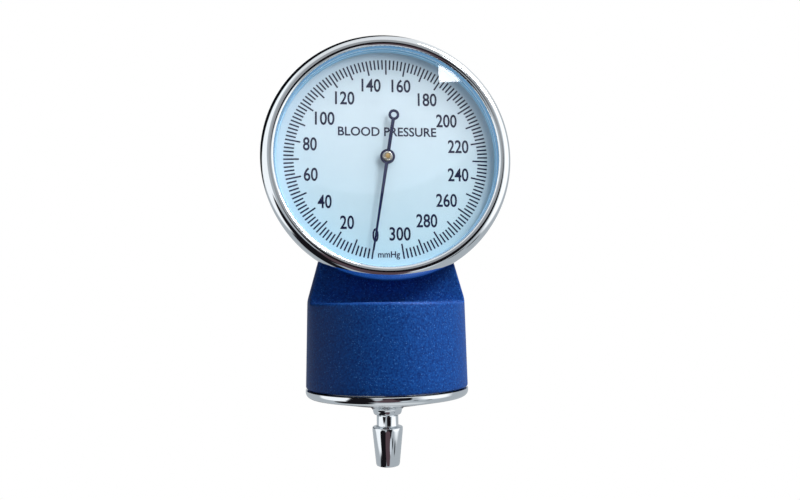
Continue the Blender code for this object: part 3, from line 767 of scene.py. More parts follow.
def settle(
    name: str,
    source: bpy.types.Mesh | bpy.types.Object,
    finishes: list[Finish],
    body: Body,
    stands_for: tuple[str, ...] = (),
) -> bpy.types.Object:
    """Dresses a finished piece and gives it its place in the frame.

    Args:
        name: the piece's name.
        source: the piece's mesh, or the object that holds it.
        finishes: the finish of each material slot.
        body: the body that it moves with.
        stands_for: the CAD nodes that it replaces.

    Returns:
        The piece.
    """
    piece = link(name, source) if isinstance(source, bpy.types.Mesh) else source
    piece.name = name
    piece.data.name = name
    for finish in finishes:
        piece.data.materials.append(finish.material())
    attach(piece, body.value)
    if stands_for:
        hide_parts(*stands_for)
    LOG.info("%s: %d faces", name, len(piece.data.polygons))
    return piece


# Sub-assemblies.


@dataclass
class CastCase:
    """The zinc casting: a cup behind the dial, a leaning neck with a flat front, and a barrel."""

    barrel_bottom: float = 17.9 * MM
    ledge: float = 36.9 * MM
    bottom_radius: float = 18.65 * MM
    top_radius: float = 18.4 * MM
    facet: float = 5.6 * MM
    neck_top: float = 54.0 * MM
    neck_slope: float = math.radians(15.0)
    neck_round: float = 6.0 * MM
    neck_back: float = 8.4 * MM
    rim_round: float = 0.45 * MM
    ledge_round: float = 0.7 * MM
    foot_round: float = 0.5 * MM
    edge_round: float = 0.45 * MM
    cup_radius: float = 27.5 * MM
    cup_bore: float = 24.8 * MM
    seat_radius: float = 26.5 * MM
    seat: float = 6.2 * MM
    cup_front: float = 8.0 * MM
    cup_floor: float = -6.8 * MM
    cup_back: float = -9.0 * MM
    back_round: float = 2.5 * MM
    crimp: float = 0.55 * MM
    crimp_levels: Point = (5.7 * MM, 6.9 * MM)
    bore: float = 15.8 * MM
    roof: float = 35.0 * MM
    recess: float = 16.4 * MM
    recess_top: float = 20.2 * MM
    passage: Point = (11.0 * MM, 5.2 * MM)
    passage_centre: float = 1.4 * MM
    passage_corner: float = 3.0 * MM
    passage_top: float = 50.0 * MM
    boss_places: tuple[Point, ...] = ((-8.5 * MM, -8.0 * MM), (8.5 * MM, -8.0 * MM))
    boss_radius: float = 2.4 * MM
    boss_hole: float = 1.1 * MM
    boss_top: float = -4.2 * MM
    rim_lip: float = 0.25 * MM
    room_front: float = 12.0 * MM
    overlap: float = 0.6 * MM
    round_share: float = 0.45
    steps: int = 5
    side_steps: int = 8
    back_steps: int = 90
    front_steps: int = 70
    barrel_rows: int = 8
    neck_rows: int = 24

    def half_width(self, height: float) -> float:
        """Half the casting's width: a slightly tapered barrel, then the neck's lean.

        Args:
            height: the level above the nozzle's tip.

        Returns:
            Half the width at that level.
        """
        if height <= self.ledge:
            share = (height - self.barrel_bottom) / (self.ledge - self.barrel_bottom)
            return self.bottom_radius + (self.top_radius - self.bottom_radius) * share
        rise = height - self.ledge
        bend = self.neck_round * math.sin(self.neck_slope)
        if rise < bend:
            return self.top_radius - self.neck_round + math.sqrt(self.neck_round**2 - rise**2)
        bent = self.neck_round * (1 - math.cos(self.neck_slope))
        return self.top_radius - bent - (rise - bend) * math.tan(self.neck_slope)

    def back_depth(self, height: float) -> float:
        """How far back the casting reaches: the barrel's radius, then an S-curve into the cup.

        Args:
            height: the level above the nozzle's tip.

        Returns:
            The depth behind the barrel's axis.
        """
        if height <= self.ledge:
            return self.half_width(height)
        share = min(1.0, (height - self.ledge) / (self.neck_top - self.ledge))
        swing = self.top_radius - self.neck_back
        return self.neck_back + swing * (0.5 + 0.5 * math.cos(math.pi * share))

    def outline(self, half: float, back: float) -> tuple[Profile, list[bool]]:
        """One level of the casting with its flat front.

        Args:
            half: half the width at this level.
            back: the depth behind the axis.

        Returns:
            The points from the right side round by the back, and which of them lie in front.
        """
        inner = half - self.edge_round
        drop = self.facet - self.edge_round
        corner_x = math.sqrt(inner**2 - drop**2)
        turn = math.degrees(math.atan2(drop, corner_x))
        rear = elliptic_arc((0, 0), (half, back), 0, 180, self.back_steps)
        left = elliptic_arc((0, 0), (half, half), 180, 180 + turn, self.side_steps)[1:]
        corner = (self.edge_round, self.edge_round)
        round_left = elliptic_arc((-corner_x, -drop), corner, 180 + turn, 270, self.steps)[1:]
        reach = math.asin(corner_x / half)
        shares = [2 * i / self.front_steps - 1 for i in range(1, self.front_steps)]
        flat = [(half * math.sin(reach * share), -self.facet) for share in shares]
        round_right = [(-x, y) for x, y in round_left[::-1]]
        right = [(-x, y) for x, y in left[::-1]][:-1]
        front = [*round_left, *flat, *round_right]
        points = [*rear, *left, *front, *right]
        marks = [False] * (len(rear) + len(left)) + [True] * len(front) + [False] * len(right)
        return points, marks

    def level(self, height: float, front: str, share: float = 0.0) -> list[Vector]:
        """The points of one ring of the skin.

        Args:
            height: the height of the ring's sides and back.
            front: round, edge, foot or flat, for what the front does at this ring.
            share: how far along an edge or a foot the ring lies, from 0 to 1.

        Returns:
            The ring's points.
        """
        half = self.half_width(height)
        points, in_front = self.outline(half, self.back_depth(height))
        turn = share * math.pi / 2
        ring = []
        for (x, y), is_front in zip(points, in_front):
            if not is_front or front == "flat":
                ring.append(Vector((x, y, height)))
                continue
            reach = math.sqrt(half**2 - x**2)
            width = max(0.0, reach + y)
            if front == "round":
                ring.append(Vector((x, -reach, height)))
            elif front == "edge":
                size = min(self.ledge_round, self.round_share * width)
                lift = (self.ledge_round - size) * share + size * math.sin(turn)
                away = size * (1 - math.cos(turn))
                ring.append(Vector((x, away - reach, self.ledge - self.ledge_round + lift)))
            else:
                size = min(self.foot_round, self.round_share * width)
                lift = size * (1 - math.cos(turn))
                away = size * (1 - math.sin(turn))
                ring.append(Vector((x, y - away, self.ledge + lift)))
        return ring

    def skin(self) -> bpy.types.Mesh:
        """Builds the barrel and neck as one skin with rounded edges.

        Returns:
            The closed mesh in the row frame.
        """
        rings = []
        for i in range(self.steps + 1):
            turn = i / self.steps * math.pi / 2
            inset = self.rim_round * (1 - math.sin(turn))
            lift = self.rim_round * (1 - math.cos(turn))
            ring = self.level(self.barrel_bottom + lift, "round")
            shrink = 1 - inset / self.bottom_radius
            rings.append([Vector((p.x * shrink, p.y * shrink, p.z)) for p in ring])
        low, high = self.barrel_bottom + self.rim_round, self.ledge - self.ledge_round
        for i in range(1, self.barrel_rows):
            rings.append(self.level(low + (high - low) * i / self.barrel_rows, "round"))
        for i in range(self.steps + 1):
            share = i / self.steps
            height = high + self.ledge_round * share
            rings.append(self.level(height, "edge", share))
        for i in range(self.steps + 1):
            share = i / self.steps
            rings.append(self.level(self.ledge + self.foot_round * share, "foot", share))
        low = self.ledge + self.foot_round
        rise = self.neck_top - low
        for i in range(1, self.neck_rows + 1):
            rings.append(self.level(low + rise * i / self.neck_rows, "flat"))
        bm = bmesh.new()
        rows = [[bm.verts.new(point) for point in ring] for ring in rings]
        for lower, upper in zip(rows, rows[1:]):
            for i in range(len(lower)):
                j = (i + 1) % len(lower)
                bm.faces.new((lower[i], lower[j], upper[j], upper[i]))
        bm.faces.new(rows[0][::-1])
        bm.faces.new(rows[-1])
        return finished("case_shell", bm, Matrix.Identity(4))

    def cup(self) -> bpy.types.Mesh:
        """Builds the hollow cup: seat, rounded rim, the bezel's crimp groove and a round back.

        Returns:
            The closed mesh in the row frame.
        """
        groove = self.cup_radius - self.crimp
        low, high = self.crimp_levels
        lip = self.rim_lip
        rim_out = elliptic_arc((self.cup_radius - lip, self.cup_front - lip), (lip, lip), 90, 0, 3)
        back = elliptic_arc(
            (self.cup_radius - self.back_round, self.cup_back + self.back_round),
            (self.back_round, self.back_round),
            0,
            -90,
            14,
        )
        profile = [
            (0, self.cup_floor),
            (self.cup_bore, self.cup_floor),
            (self.cup_bore, self.seat),
            (self.seat_radius, self.seat),
            (self.seat_radius, self.cup_front),
            *rim_out,
            (self.cup_radius, high),
            (groove, high),
            (groove, low),
            (self.cup_radius, low),
            *back,
            (0, self.cup_back),
        ]
        return turned("case_cup", profile, 192, Bench.FACE)

    def rod(
        self, name: str, radius: float, low: float, high: float, place: Point
    ) -> bpy.types.Mesh:
        """Builds a plain round bar along the dial's axis, for a boss or a hole.

        Args:
            name: the mesh's name.
            radius: the bar's radius.
            low: its rear end.
            high: its front end.
            place: its centre in the dial's axes.

        Returns:
            The closed mesh in the row frame.
        """
        outline = elliptic_arc(place, (radius, radius), 0, 360, 40)[:-1]
        return slab(name, outline, low, high, Bench.FACE.place)

    def passage_outline(self) -> Profile:
        """Outline of the passage from the barrel up into the cup, with round corners.

        Returns:
            The outline's points.
        """
        half_x = self.passage[0] - self.passage_corner
        half_y = self.passage[1] - self.passage_corner
        points = []
        for quarter, (sign_x, sign_y) in enumerate(((1, 1), (-1, 1), (-1, -1), (1, -1))):
            centre = (sign_x * half_x, self.passage_centre + sign_y * half_y)
            corner = (self.passage_corner, self.passage_corner)
            points += elliptic_arc(centre, corner, 90 * quarter, 90 * quarter + 90, 6)
        return points

    def build(self) -> None:
        """Makes the casting and lacquers it."""
        case = link("case_shell", self.skin())
        middle = (self.cup_bore + self.cup_radius) / 2
        floor = (self.cup_floor + self.cup_back) / 2
        combine(case, self.rod("room", middle, floor, self.room_front, (0, 0)), "DIFFERENCE")
        combine(case, self.cup(), "UNION")
        low = self.barrel_bottom - self.overlap
        cavity = [
            (0, low),
            (self.recess, low),
            (self.recess, self.recess_top),
            (self.bore, self.recess_top),
            (self.bore, self.roof),
            (0, self.roof),
        ]
        combine(case, turned("cavity", cavity, 96, Bench.BARREL), "DIFFERENCE")
        passage = slab(
            "passage",
            self.passage_outline(),
            self.roof - self.overlap,
            self.passage_top,
            Matrix.Identity(4),
        )
        combine(case, passage, "DIFFERENCE")
        for place in self.boss_places:
            start = self.cup_floor - self.overlap
            combine(case, self.rod("boss", self.boss_radius, start, self.boss_top, place), "UNION")
            start = self.cup_floor + self.overlap / 2
            end = self.boss_top + self.overlap
            combine(case, self.rod("hole", self.boss_hole, start, end, place), "DIFFERENCE")
        shade(case.data)
        settle("case_shell", case, [LACQUER], Body.ROOT, ("case_body",))


@dataclass
class Bezel:
    """The spun ring: a rolled nose over the lens, a skirt, and a crimp into the cup's groove."""

    lip: float = 25.3 * MM
    crest: float = 26.3 * MM
    radius: float = 28.4 * MM
    front: float = 11.5 * MM
    lip_level: float = 11.05 * MM
    shoulder: float = 9.2 * MM
    rear: float = 6.0 * MM
    sheet: float = 0.6 * MM
    lens_front: float = 10.6 * MM
    gap: float = 0.3 * MM
    groove: float = 26.95 * MM
    curl: float = 0.4 * MM
    corner: Point = (0.6 * MM, 0.5 * MM)
    segments: int = 288

    def build(self) -> None:
        """Spins the ring and plates it."""
        skirt = self.radius - self.sheet
        inner_round = (self.crest - self.lip, self.front - self.lip_level)
        nose = elliptic_arc((self.crest, self.lip_level), inner_round, 180, 90, 8)
        outer_round = (self.radius - self.crest, self.front - self.shoulder)
        nose += elliptic_arc((self.crest, self.shoulder), outer_round, 90, 0, 20)[1:]
        curl = self.curl
        rear = elliptic_arc((self.radius - curl, self.rear + curl), (curl, curl), 0, -90, 6)
        inset, drop = self.corner
        crimp = self.groove + self.gap
        under = [
            (crimp, self.rear),
            (crimp, self.rear + 2 * self.gap),
            (skirt, self.rear + 3 * self.gap),
            (skirt, self.lens_front - drop),
            (skirt - inset, self.lens_front + self.gap),
            (self.lip, self.lens_front + self.gap),
        ]
        mesh = turned("bezel_roll", [*nose, *rear, *under], self.segments, Bench.FACE)
        settle("bezel_roll", mesh, [CHROME], Body.ROOT, ("bezel_ring",))


@dataclass
class LensCap:
    """The clear cap: a flat polished front on a straight moulded wall with a flange."""

    front: float = 10.6 * MM
    thickness: float = 0.8 * MM
    wall_outer: float = 26.2 * MM
    wall_inner: float = 25.2 * MM
    wall_end: float = 7.3 * MM
    flange: float = 27.4 * MM
    flange_levels: Point = (9.1 * MM, 9.7 * MM)
    corner: float = 0.3 * MM
    segments: int = 256

    def build(self) -> None:
        """Moulds the cap, with its wall as a second finish."""
        inside = self.front - self.thickness
        low, high = self.flange_levels
        corner = (self.corner, self.corner)
        edge = elliptic_arc(
            (self.wall_outer - self.corner, self.front - self.corner), corner, 90, 0, 4
        )
        fillet = elliptic_arc(
            (self.wall_inner - self.corner, inside - self.corner), corner, 0, 90, 4
        )
        flat = self.wall_inner - 2 * self.corner
        profile = [
            (0, self.front),
            (flat, self.front),
            *edge,
            (self.wall_outer, high),
            (self.flange, high),
            (self.flange, low),
            (self.wall_outer, low),
            (self.wall_outer, self.wall_end),
            (self.wall_inner, self.wall_end),
            *fillet,
            (flat, inside),
            (0, inside),
        ]
        polished, moulded = 0, 1
        slots = [polished] * 2
        slots += [moulded] * (len(profile) - len(slots) - len(fillet) - 1)
        slots += [polished] * (len(profile) - len(slots))
        mesh = turned("lens_cap", profile, self.segments, Bench.FACE, slots)
        # The wall's painted reflection bands and painted glow run from the cap's inside face to the
        # wall's end.
        wall = MouldedWall("moulded_acrylic_wall", -inside, -self.wall_end)
        settle("lens_cap", mesh, [ACRYLIC, wall], Body.ROOT, ("lens",))


@dataclass
class TickRing:
    """The dial's strokes: one every 2 units from 0 to 300, longer every 10, made by a node tree."""

    count: int = 151
    sweep: float = math.radians(342.0)
    every: int = 5
    radius: float = 23.5 * MM
    minor: float = 2.3 * MM
    major: float = 3.5 * MM
    width: float = 0.36 * MM
    height: float = 0.03 * MM
    steps: tuple[tuple[str | float, ...], ...] = (
        ("spans", "SUBTRACT", "Count", 1.0),
        ("share", "DIVIDE", "Index", "spans"),
        ("from middle", "SUBTRACT", "share", 0.5),
        ("turn", "MULTIPLY", "Sweep", "from middle"),
        ("sine", "SINE", "turn"),
        ("cosine", "COSINE", "turn"),
        ("across", "MULTIPLY", "Radius", "sine"),
        ("up", "MULTIPLY", "Radius", "cosine"),
        ("spin", "MULTIPLY", "turn", -1.0),
        ("rest", "MODULO", "Index", "Every"),
        ("is major", "LESS_THAN", "rest", 0.5),
        ("extra", "SUBTRACT", "Major Length", "Minor Length"),
        ("length", "MULTIPLY_ADD", "is major", "extra", "Minor Length"),
    )

    def sockets(self) -> dict[str, tuple[str, float | int]]:
        """The tree's named inputs.

        Returns:
            Each input's name, with its socket type and its value.
        """
        return {
            "Count": ("NodeSocketInt", self.count),
            "Sweep": ("NodeSocketFloat", self.sweep),
            "Every": ("NodeSocketInt", self.every),
            "Radius": ("NodeSocketFloat", self.radius),
            "Minor Length": ("NodeSocketFloat", self.minor),
            "Major Length": ("NodeSocketFloat", self.major),
            "Width": ("NodeSocketFloat", self.width),
            "Height": ("NodeSocketFloat", self.height),
        }

    def tree(self) -> bpy.types.NodeTree:
        """Builds the node tree that sets the strokes round the dial.

        Returns:
            The tree, whose inputs carry the names that sockets gives.
        """
        tree = bpy.data.node_groups.new("tick_ring", "GeometryNodeTree")
        for name, (kind, _) in self.sockets().items():
            tree.interface.new_socket(name, in_out="INPUT", socket_type=kind)
        tree.interface.new_socket("Geometry", in_out="OUTPUT", socket_type="NodeSocketGeometry")
        given = add(tree, "NodeGroupInput").outputs
        value = {name: given[name] for name in self.sockets()}
        value["Index"] = add(tree, "GeometryNodeInputIndex")
        for name, operation, *inputs in self.steps:
            fed = {number: value.get(entry, entry) for number, entry in enumerate(inputs)}
            value[name] = add(tree, "ShaderNodeMath", fed, operation=operation)
        place = add(tree, "ShaderNodeCombineXYZ", {"X": value["across"], "Y": value["up"]})
        links = {"Count": value["Count"], "Position": place}
        points = add(tree, "GeometryNodePoints", links)
        links = {"X": value["Width"], "Y": value["length"], "Z": value["Height"]}
        size = add(tree, "ShaderNodeCombineXYZ", links)
        spin = add(tree, "ShaderNodeCombineXYZ", {"Z": value["spin"]})
        cube = add(tree, "GeometryNodeMeshCube")
        links = {"Geometry": cube, "Translation": (0.0, -0.5, 0.5)}
        stroke = add(tree, "GeometryNodeTransform", links)
        links = {"Points": points, "Instance": stroke, "Rotation": spin, "Scale": size}
        strokes = add(tree, "GeometryNodeInstanceOnPoints", links)
        real = add(tree, "GeometryNodeRealizeInstances", {0: strokes})
        links = {"Geometry": real, "Material": INK.material()}
        add(tree, "NodeGroupOutput", {0: add(tree, "GeometryNodeSetMaterial", links)})
        return tree

    def mesh(self) -> bpy.types.Mesh:
        """Runs the tree and returns its strokes as a plain mesh in the dial's axes.

        Returns:
            The mesh, with its foot at level 0.
        """
        holder = link("tick_holder", bpy.data.meshes.new("tick_holder"))
        modifier = holder.modifiers.new("tick_ring", "NODES")
        modifier.node_group = self.tree()
        identifiers = {
            item.name: item.identifier
            for item in modifier.node_group.interface.items_tree
            if item.in_out == "INPUT"
        }
        for name, (_, value) in self.sockets().items():
            modifier[identifiers[name]] = value
        flatten(holder)
        mesh = holder.data
        bpy.data.objects.remove(holder)
        return mesh


@dataclass(frozen=True)
class Label:
    """A line of print on the dial: its words, its centre, its height and its width."""

    words: str
    centre: Point
    height: float
    width: float


@dataclass
class Dial:
    """The enamelled dial and its print: strokes, numbers, a plain title and the unit."""

    face: float = 7.0 * MM
    radius: float = 26.2 * MM
    top_value: int = 300
    step: int = 20
    digit_height: float = 3.15 * MM
    digit_pitch: float = 1.72 * MM
    digit_gap: float = 0.30 * MM
    slim_one: float = 0.40 * MM
    stroke: float = 0.017
    number_gap: float = 0.35 * MM
    print_height: float = 0.03 * MM
    title: Label = Label("BLOOD PRESSURE", (0.2 * MM, 6.3 * MM), 2.15 * MM, 22.8 * MM)
    unit: Label = Label("mmHg", (0.2 * MM, -22.4 * MM), 1.9 * MM, 5.0 * MM)
    ticks: TickRing = field(default_factory=TickRing)

    def numbers(self) -> list[Label]:
        """Places each number just inside its long stroke.

        Returns:
            The labels from zero to the highest value.
        """
        inner = self.ticks.radius - self.ticks.major - self.number_gap
        labels = []
        for value in range(0, self.top_value + 1, self.step):
            words = str(value)
            turn = self.ticks.sweep * (value / self.top_value - 0.5)
            width = self.digit_pitch * len(words) - self.digit_gap
            if words.startswith("1"):
                width -= self.slim_one
            half = abs(math.sin(turn)) * width / 2 + abs(math.cos(turn)) * self.digit_height / 2
            reach = inner - half
            centre = (reach * math.sin(turn), reach * math.cos(turn))
            labels.append(Label(words, centre, self.digit_height, width))
        return labels

    def print_mesh(self, label: Label) -> bpy.types.Mesh:
        """Sets one label in type and turns it into a thin raised mesh.

        Args:
            label: the line of print.

        Returns:
            The mesh in the dial's axes, with its foot at level 0.
        """
        curve = bpy.data.curves.new("print", "FONT")
        curve.body = label.words
        curve.resolution_u = 4
        curve.offset = self.stroke
        curve.extrude = 0.5
        mesh = filled(curve)
        xs = [vertex.co.x for vertex in mesh.vertices]
        ys = [vertex.co.y for vertex in mesh.vertices]
        middle = Vector(((min(xs) + max(xs)) / 2, (min(ys) + max(ys)) / 2, -0.5))
        scale = (
            label.width / (max(xs) - min(xs)),
            label.height / (max(ys) - min(ys)),
            self.print_height,
            1.0,
        )
        place = Matrix.Translation((*label.centre, 0)) @ Matrix.Diagonal(scale)
        mesh.transform(place @ Matrix.Translation(-middle))
        return mesh

    def joined(self, name: str, meshes: list[bpy.types.Mesh]) -> bpy.types.Mesh:
        """Joins print meshes into one and stands it on the dial's face.

        Args:
            name: the mesh's name.
            meshes: meshes in the dial's axes.

        Returns:
            One mesh in the row frame.
        """
        bm = bmesh.new()
        for mesh in meshes:
            bm.from_mesh(mesh)
            bpy.data.meshes.remove(mesh)
        place = Bench.FACE.place @ Matrix.Translation((0, 0, self.face))
        mesh = finished(name, bm, place)
        mesh.shade_flat()
        return mesh

    def build(self) -> None:
        """Enamels the plate and prints on it."""
        # The enamel's painted light grade runs from the dial's foot to its head.
        foot, head = DIAL_CENTRE.z - self.radius, DIAL_CENTRE.z + self.radius
        dress("dial_plate", DialEnamel("stove_enamel", foot=foot, head=head))
        for name, meshes in (
            ("dial_strokes", [self.ticks.mesh()]),
            ("dial_numbers", [self.print_mesh(label) for label in self.numbers()]),
            ("dial_words", [self.print_mesh(self.title), self.print_mesh(self.unit)]),
        ):
            settle(name, self.joined(name, meshes), [INK], Body.ROOT)


@dataclass
class Needle:
    """The pointer with its disc and tail ring, and the bush that it sits on."""

    low: float = 8.7 * MM
    high: float = 9.0 * MM
    zero: float = math.radians(-99.0)
    length: float = 21.8 * MM
    root_width: float = 0.80 * MM
    tip_width: float = 0.42 * MM
    disc: float = 1.7 * MM
    tail: float = 9.9 * MM
    ring_inner: float = 0.65 * MM
    ring_outer: float = 1.25 * MM
    bush: float = 1.1 * MM
    bush_bore: float = 0.64 * MM
    gap: float = 0.12 * MM
    edge: float = 0.05 * MM
    bush_rise: float = 0.2 * MM
    crown: float = 0.1 * MM
    flange: float = 1.6 * MM
    flange_drops: Point = (0.6 * MM, 0.3 * MM)

    def outline(self) -> Profile:
        """Outline of the needle along its line: tip, disc and tail ring, without the holes.

        Returns:
            The outline's points, with the disc at the origin.
        """
        half_root, half_tip = self.root_width / 2, self.tip_width / 2
        at_disc = math.degrees(math.asin(half_root / self.disc))
        at_ring = math.degrees(math.asin(half_root / self.ring_outer))
        disc = (self.disc, self.disc)
        ring = (self.ring_outer, self.ring_outer)
        return [
            *elliptic_arc((self.length - half_tip, 0), (half_tip, half_tip), -90, 90, 8),
            *elliptic_arc((0, 0), disc, at_disc, 180 - at_disc, 28),
            *elliptic_arc((-self.tail, 0), ring, at_ring, 360 - at_ring, 44),
            *elliptic_arc((0, 0), disc, 180 + at_disc, 360 - at_disc, 28),
        ]

    def stamping(self) -> bpy.types.Mesh:
        """Stamps the outline with its two holes and rounds its edges.

        Returns:
            The closed mesh in the row frame, aimed at the zero stroke.
        """
        curve = bpy.data.curves.new("needle_blade", "CURVE")
        curve.dimensions = "2D"
        curve.fill_mode = "BOTH"
        seat = self.bush + self.gap
        eye = elliptic_arc((-self.tail, 0), (self.ring_inner, self.ring_inner), 0, 360, 40)
        hole = elliptic_arc((0, 0), (seat, seat), 0, 360, 48)
        for loop in (self.outline(), eye[:-1], hole[:-1]):
            spline = curve.splines.new("POLY")
            spline.points.add(len(loop) - 1)
            for point, (x, y) in zip(spline.points, loop):
                point.co = (x / MM, y / MM, 0, 1)
            spline.use_cyclic_u = True
        curve.offset = -self.edge / MM
        curve.bevel_depth = self.edge / MM
        curve.bevel_resolution = 1
        curve.extrude = ((self.high - self.low) / 2 - self.edge) / MM
        bm = bmesh.new()
        bm.from_mesh(filled(curve))
        middle = (self.low + self.high) / 2
        aim = Matrix.Rotation(self.zero, 4, "Z") @ Matrix.Translation((0, 0, middle))
        bm.transform(Matrix.Scale(MM, 4))
        return finished("needle_blade", bm, Bench.FACE.place @ aim)

    def build(self) -> None:
        """Stamps the pointer, lacquers it and seats it on its bush."""
        blade = self.stamping()
        settle(
            "needle_blade", blade, [NEEDLE_LACQUER], Body.NEEDLE, ("pointer",)
        )
        top, crown = self.high + self.bush_rise, self.crown
        rim = elliptic_arc((self.bush - crown, top - crown), (crown, crown), 0, 90, 4)
        mouth = elliptic_arc((self.bush_bore + crown, top - crown), (crown, crown), 90, 180, 4)
        foot, seat = (self.low - drop for drop in self.flange_drops)
        profile = [
            (self.bush_bore, foot),
            (self.flange, foot),
            (self.flange, seat),
            (self.bush, seat),
            *rim,
            *mouth,
        ]
        bush = turned("needle_bush", profile, 64, Bench.FACE)
        settle("needle_bush", bush, [NICKEL], Body.NEEDLE, ("pointer_bush",))


@dataclass
class BottomFittings:
    """The turned plate that closes the barrel, and the hose nozzle under it."""

    plate_radius: float = 18.7 * MM
    plate_top: float = 17.6 * MM
    plate_edge: float = 15.8 * MM
    spigot: float = 16.1 * MM
    spigot_top: float = 19.0 * MM
    spigot_inner: float = 14.2 * MM
    floor_radius: float = 13.4 * MM
    floor: float = 17.0 * MM
    hole: float = 2.2 * MM
    boss: float = 11.5 * MM
    barb: float = 3.5 * MM
    barb_top: float = 8.7 * MM
    stem: float = 2.5 * MM
    bore: float = 1.1 * MM
    shank: float = 1.9 * MM
    shank_top: float = 21.2 * MM
    plate_round: float = 1.25 * MM
    plate_chamfer: float = 0.1 * MM
    collar: tuple[Point, ...] = ((2.95 * MM, 0.0), (3.15 * MM, 0.15 * MM))
    waist: Point = (5.6 * MM, 0.55 * MM)
    waist_radii: Point = (2.3 * MM, 1.5 * MM)
    cone: tuple[Point, ...] = (
        (10.0 * MM, 14.35 * MM),
        (15.6 * MM, 15.42 * MM),
        (15.75 * MM, 15.62 * MM),
        (15.95 * MM, 15.78 * MM),
    )
    mouth: tuple[Point, ...] = ((2.35 * MM, 0.0), (2.58 * MM, 0.1 * MM), (2.70 * MM, 0.4 * MM))
    bore_flare: Point = (0.2 * MM, 0.35 * MM)
    barb_round: float = 0.25 * MM
    barb_land: float = 0.8 * MM
    stem_fillet: float = 0.3 * MM
    stem_gap: float = 0.1 * MM
    shoulder_depth: float = 0.3 * MM
    segments: int = 224
    nozzle_segments: int = 128

    def plate_profile(self) -> Profile:
        """The plate: boss, coned underside with a turned step, full-round rim and spigot.

        Returns:
            Points of radius and level.
        """
        edge, chamfer = self.plate_round, self.plate_chamfer
        rim = (self.plate_radius - edge, self.plate_edge + edge)
        across, up = self.waist
        return [
            (self.hole, self.boss),
            *[(radius, self.boss + rise) for radius, rise in self.collar],
            *elliptic_arc((across, self.boss + up), self.waist_radii, 180, 100, 10),
            *self.cone,
            *elliptic_arc(rim, (edge, edge), -80, 0, 12),
            (self.plate_radius, self.plate_top - chamfer),
            (self.plate_radius - chamfer, self.plate_top),
            (self.spigot, self.plate_top),
            (self.spigot, self.spigot_top),
            (self.spigot_inner, self.spigot_top),
            (self.floor_radius, self.floor),
            (self.hole, self.floor),
        ]

    def nozzle_profile(self) -> Profile:
        """The nozzle: a chamfered mouth, a tapered barb with a full edge, a stem and a shank.

        Returns:
            Points of radius and level.
        """
        edge, fillet = self.barb_round, self.stem_fillet
        crest = (self.barb - edge, self.barb_top - edge)
        neck = (self.stem + fillet, self.barb_top + fillet + self.stem_gap)
        shoulder = self.boss - self.shoulder_depth
        flare, flare_top = self.bore_flare
        return [
            (self.bore, flare_top),
            (self.bore + flare, 0.0),
            *self.mouth,
            (self.barb, self.barb_top - self.barb_land),
            *elliptic_arc(crest, (edge, edge), 0, 90, 5),
            *elliptic_arc(neck, (fillet, fillet), -90, -180, 4),
            (self.stem, shoulder),
            (self.shank, shoulder),
            (self.shank, self.shank_top),
            (self.bore, self.shank_top),
        ]

    def build(self) -> None:
        """Turns both pieces and plates them."""
        plate = turned("plate_turning", self.plate_profile(), self.segments, Bench.BARREL)
        settle("plate_turning", plate, [CHROME], Body.ROOT, ("bottom_plate",))
        nozzle = turned("nozzle_turning", self.nozzle_profile(), self.nozzle_segments, Bench.BARREL)
        settle("nozzle_turning", nozzle, [CHROME], Body.ROOT, ("hose_nozzle",))


def dress(node: str, finish: Finish) -> None:
    """Gives a CAD node its finish.

    Args:
        node: the node's name.
        finish: what it is made of.
    """
    mesh = frame["nodes"][node].data
    mesh.materials.clear()
    mesh.materials.append(finish.material())


class Movement:
    """The works inside the casting, which keep their CAD shape and get their real metals."""

    FINISHES: dict[str, Finish] = {
        "lens_gasket": RUBBER,
        "bottom_gasket": RUBBER,
        "inlet_washer": RUBBER,
        "inlet_nut": BRASS,
        "capsule": BRONZE,
        "rod_guide": BRASS,
        "movement": BRASS,
        "pillar_nut": STEEL,
        "pillar": BRASS,
        "mount_screw": STEEL,
        "hairspring_collet": BRASS,
        "hairspring_stud": BRASS,
        "hairspring": BRONZE,
        "pinion_arbor": BRASS,
        "sector_gear": BRASS,
        "sector_arbor": STEEL,
        "lifting_arm": STEEL,
        "push_rod_cap": NICKEL,
        "push_rod": STEEL,
    }

    def build(self) -> None:
        """Dresses each inner node by the first entry that its name starts with."""
        for node in sorted(frame["nodes"]):
            for start, finish in self.FINISHES.items():
                if node.startswith(start):
                    dress(node, finish)
                    break


# Studio.


def aimed(azimuth: float, elevation: float) -> Vector:
    """Unit vector for two angles in degrees.

    Args:
        azimuth: 0 is in front of the dial and 90 to its right.
        elevation: the angle above the level.

    Returns:
        The vector.
    """
    turn, rise = math.radians(azimuth), math.radians(elevation)
    flat = math.cos(rise)
    return Vector((flat * math.sin(turn), -flat * math.cos(turn), math.sin(rise)))


@dataclass(frozen=True)
class Zone:
    """A soft patch of the room round the object: where it is, how wide, and how bright."""

    azimuth: float
    elevation: float
    core: float
    edge: float
    tint: str
    strength: float = 1.0


@dataclass(frozen=True)
class Lamp:
    """A soft rectangular lamp: its direction, distance, size in metres and power in watts."""

    name: str
    azimuth: float
    elevation: float
    distance: float
    size: Point
    power: float

    def hang(self, lit: list[bpy.types.Object] | None = None) -> None:
        """Hangs the lamp so that it faces the dial's centre.

        Args:
            lit: the objects that it lights, or None for all of them.
        """
        data = bpy.data.lights.new(self.name, "AREA")
        data.shape = "RECTANGLE"
        data.size, data.size_y = self.size
        data.energy = self.power
        lamp = link(self.name, data)
        direction = aimed(self.azimuth, self.elevation)
        lamp.location = DIAL_CENTRE + direction * self.distance
        lamp.rotation_euler = (-direction).to_track_quat("-Z", "Y").to_euler()
        lamp.visible_camera = False
        if lit:
            group = bpy.data.collections.new(f"{self.name}_lit")
            for thing in lit:
                group.objects.link(thing)
            lamp.light_linking.receiver_collection = group


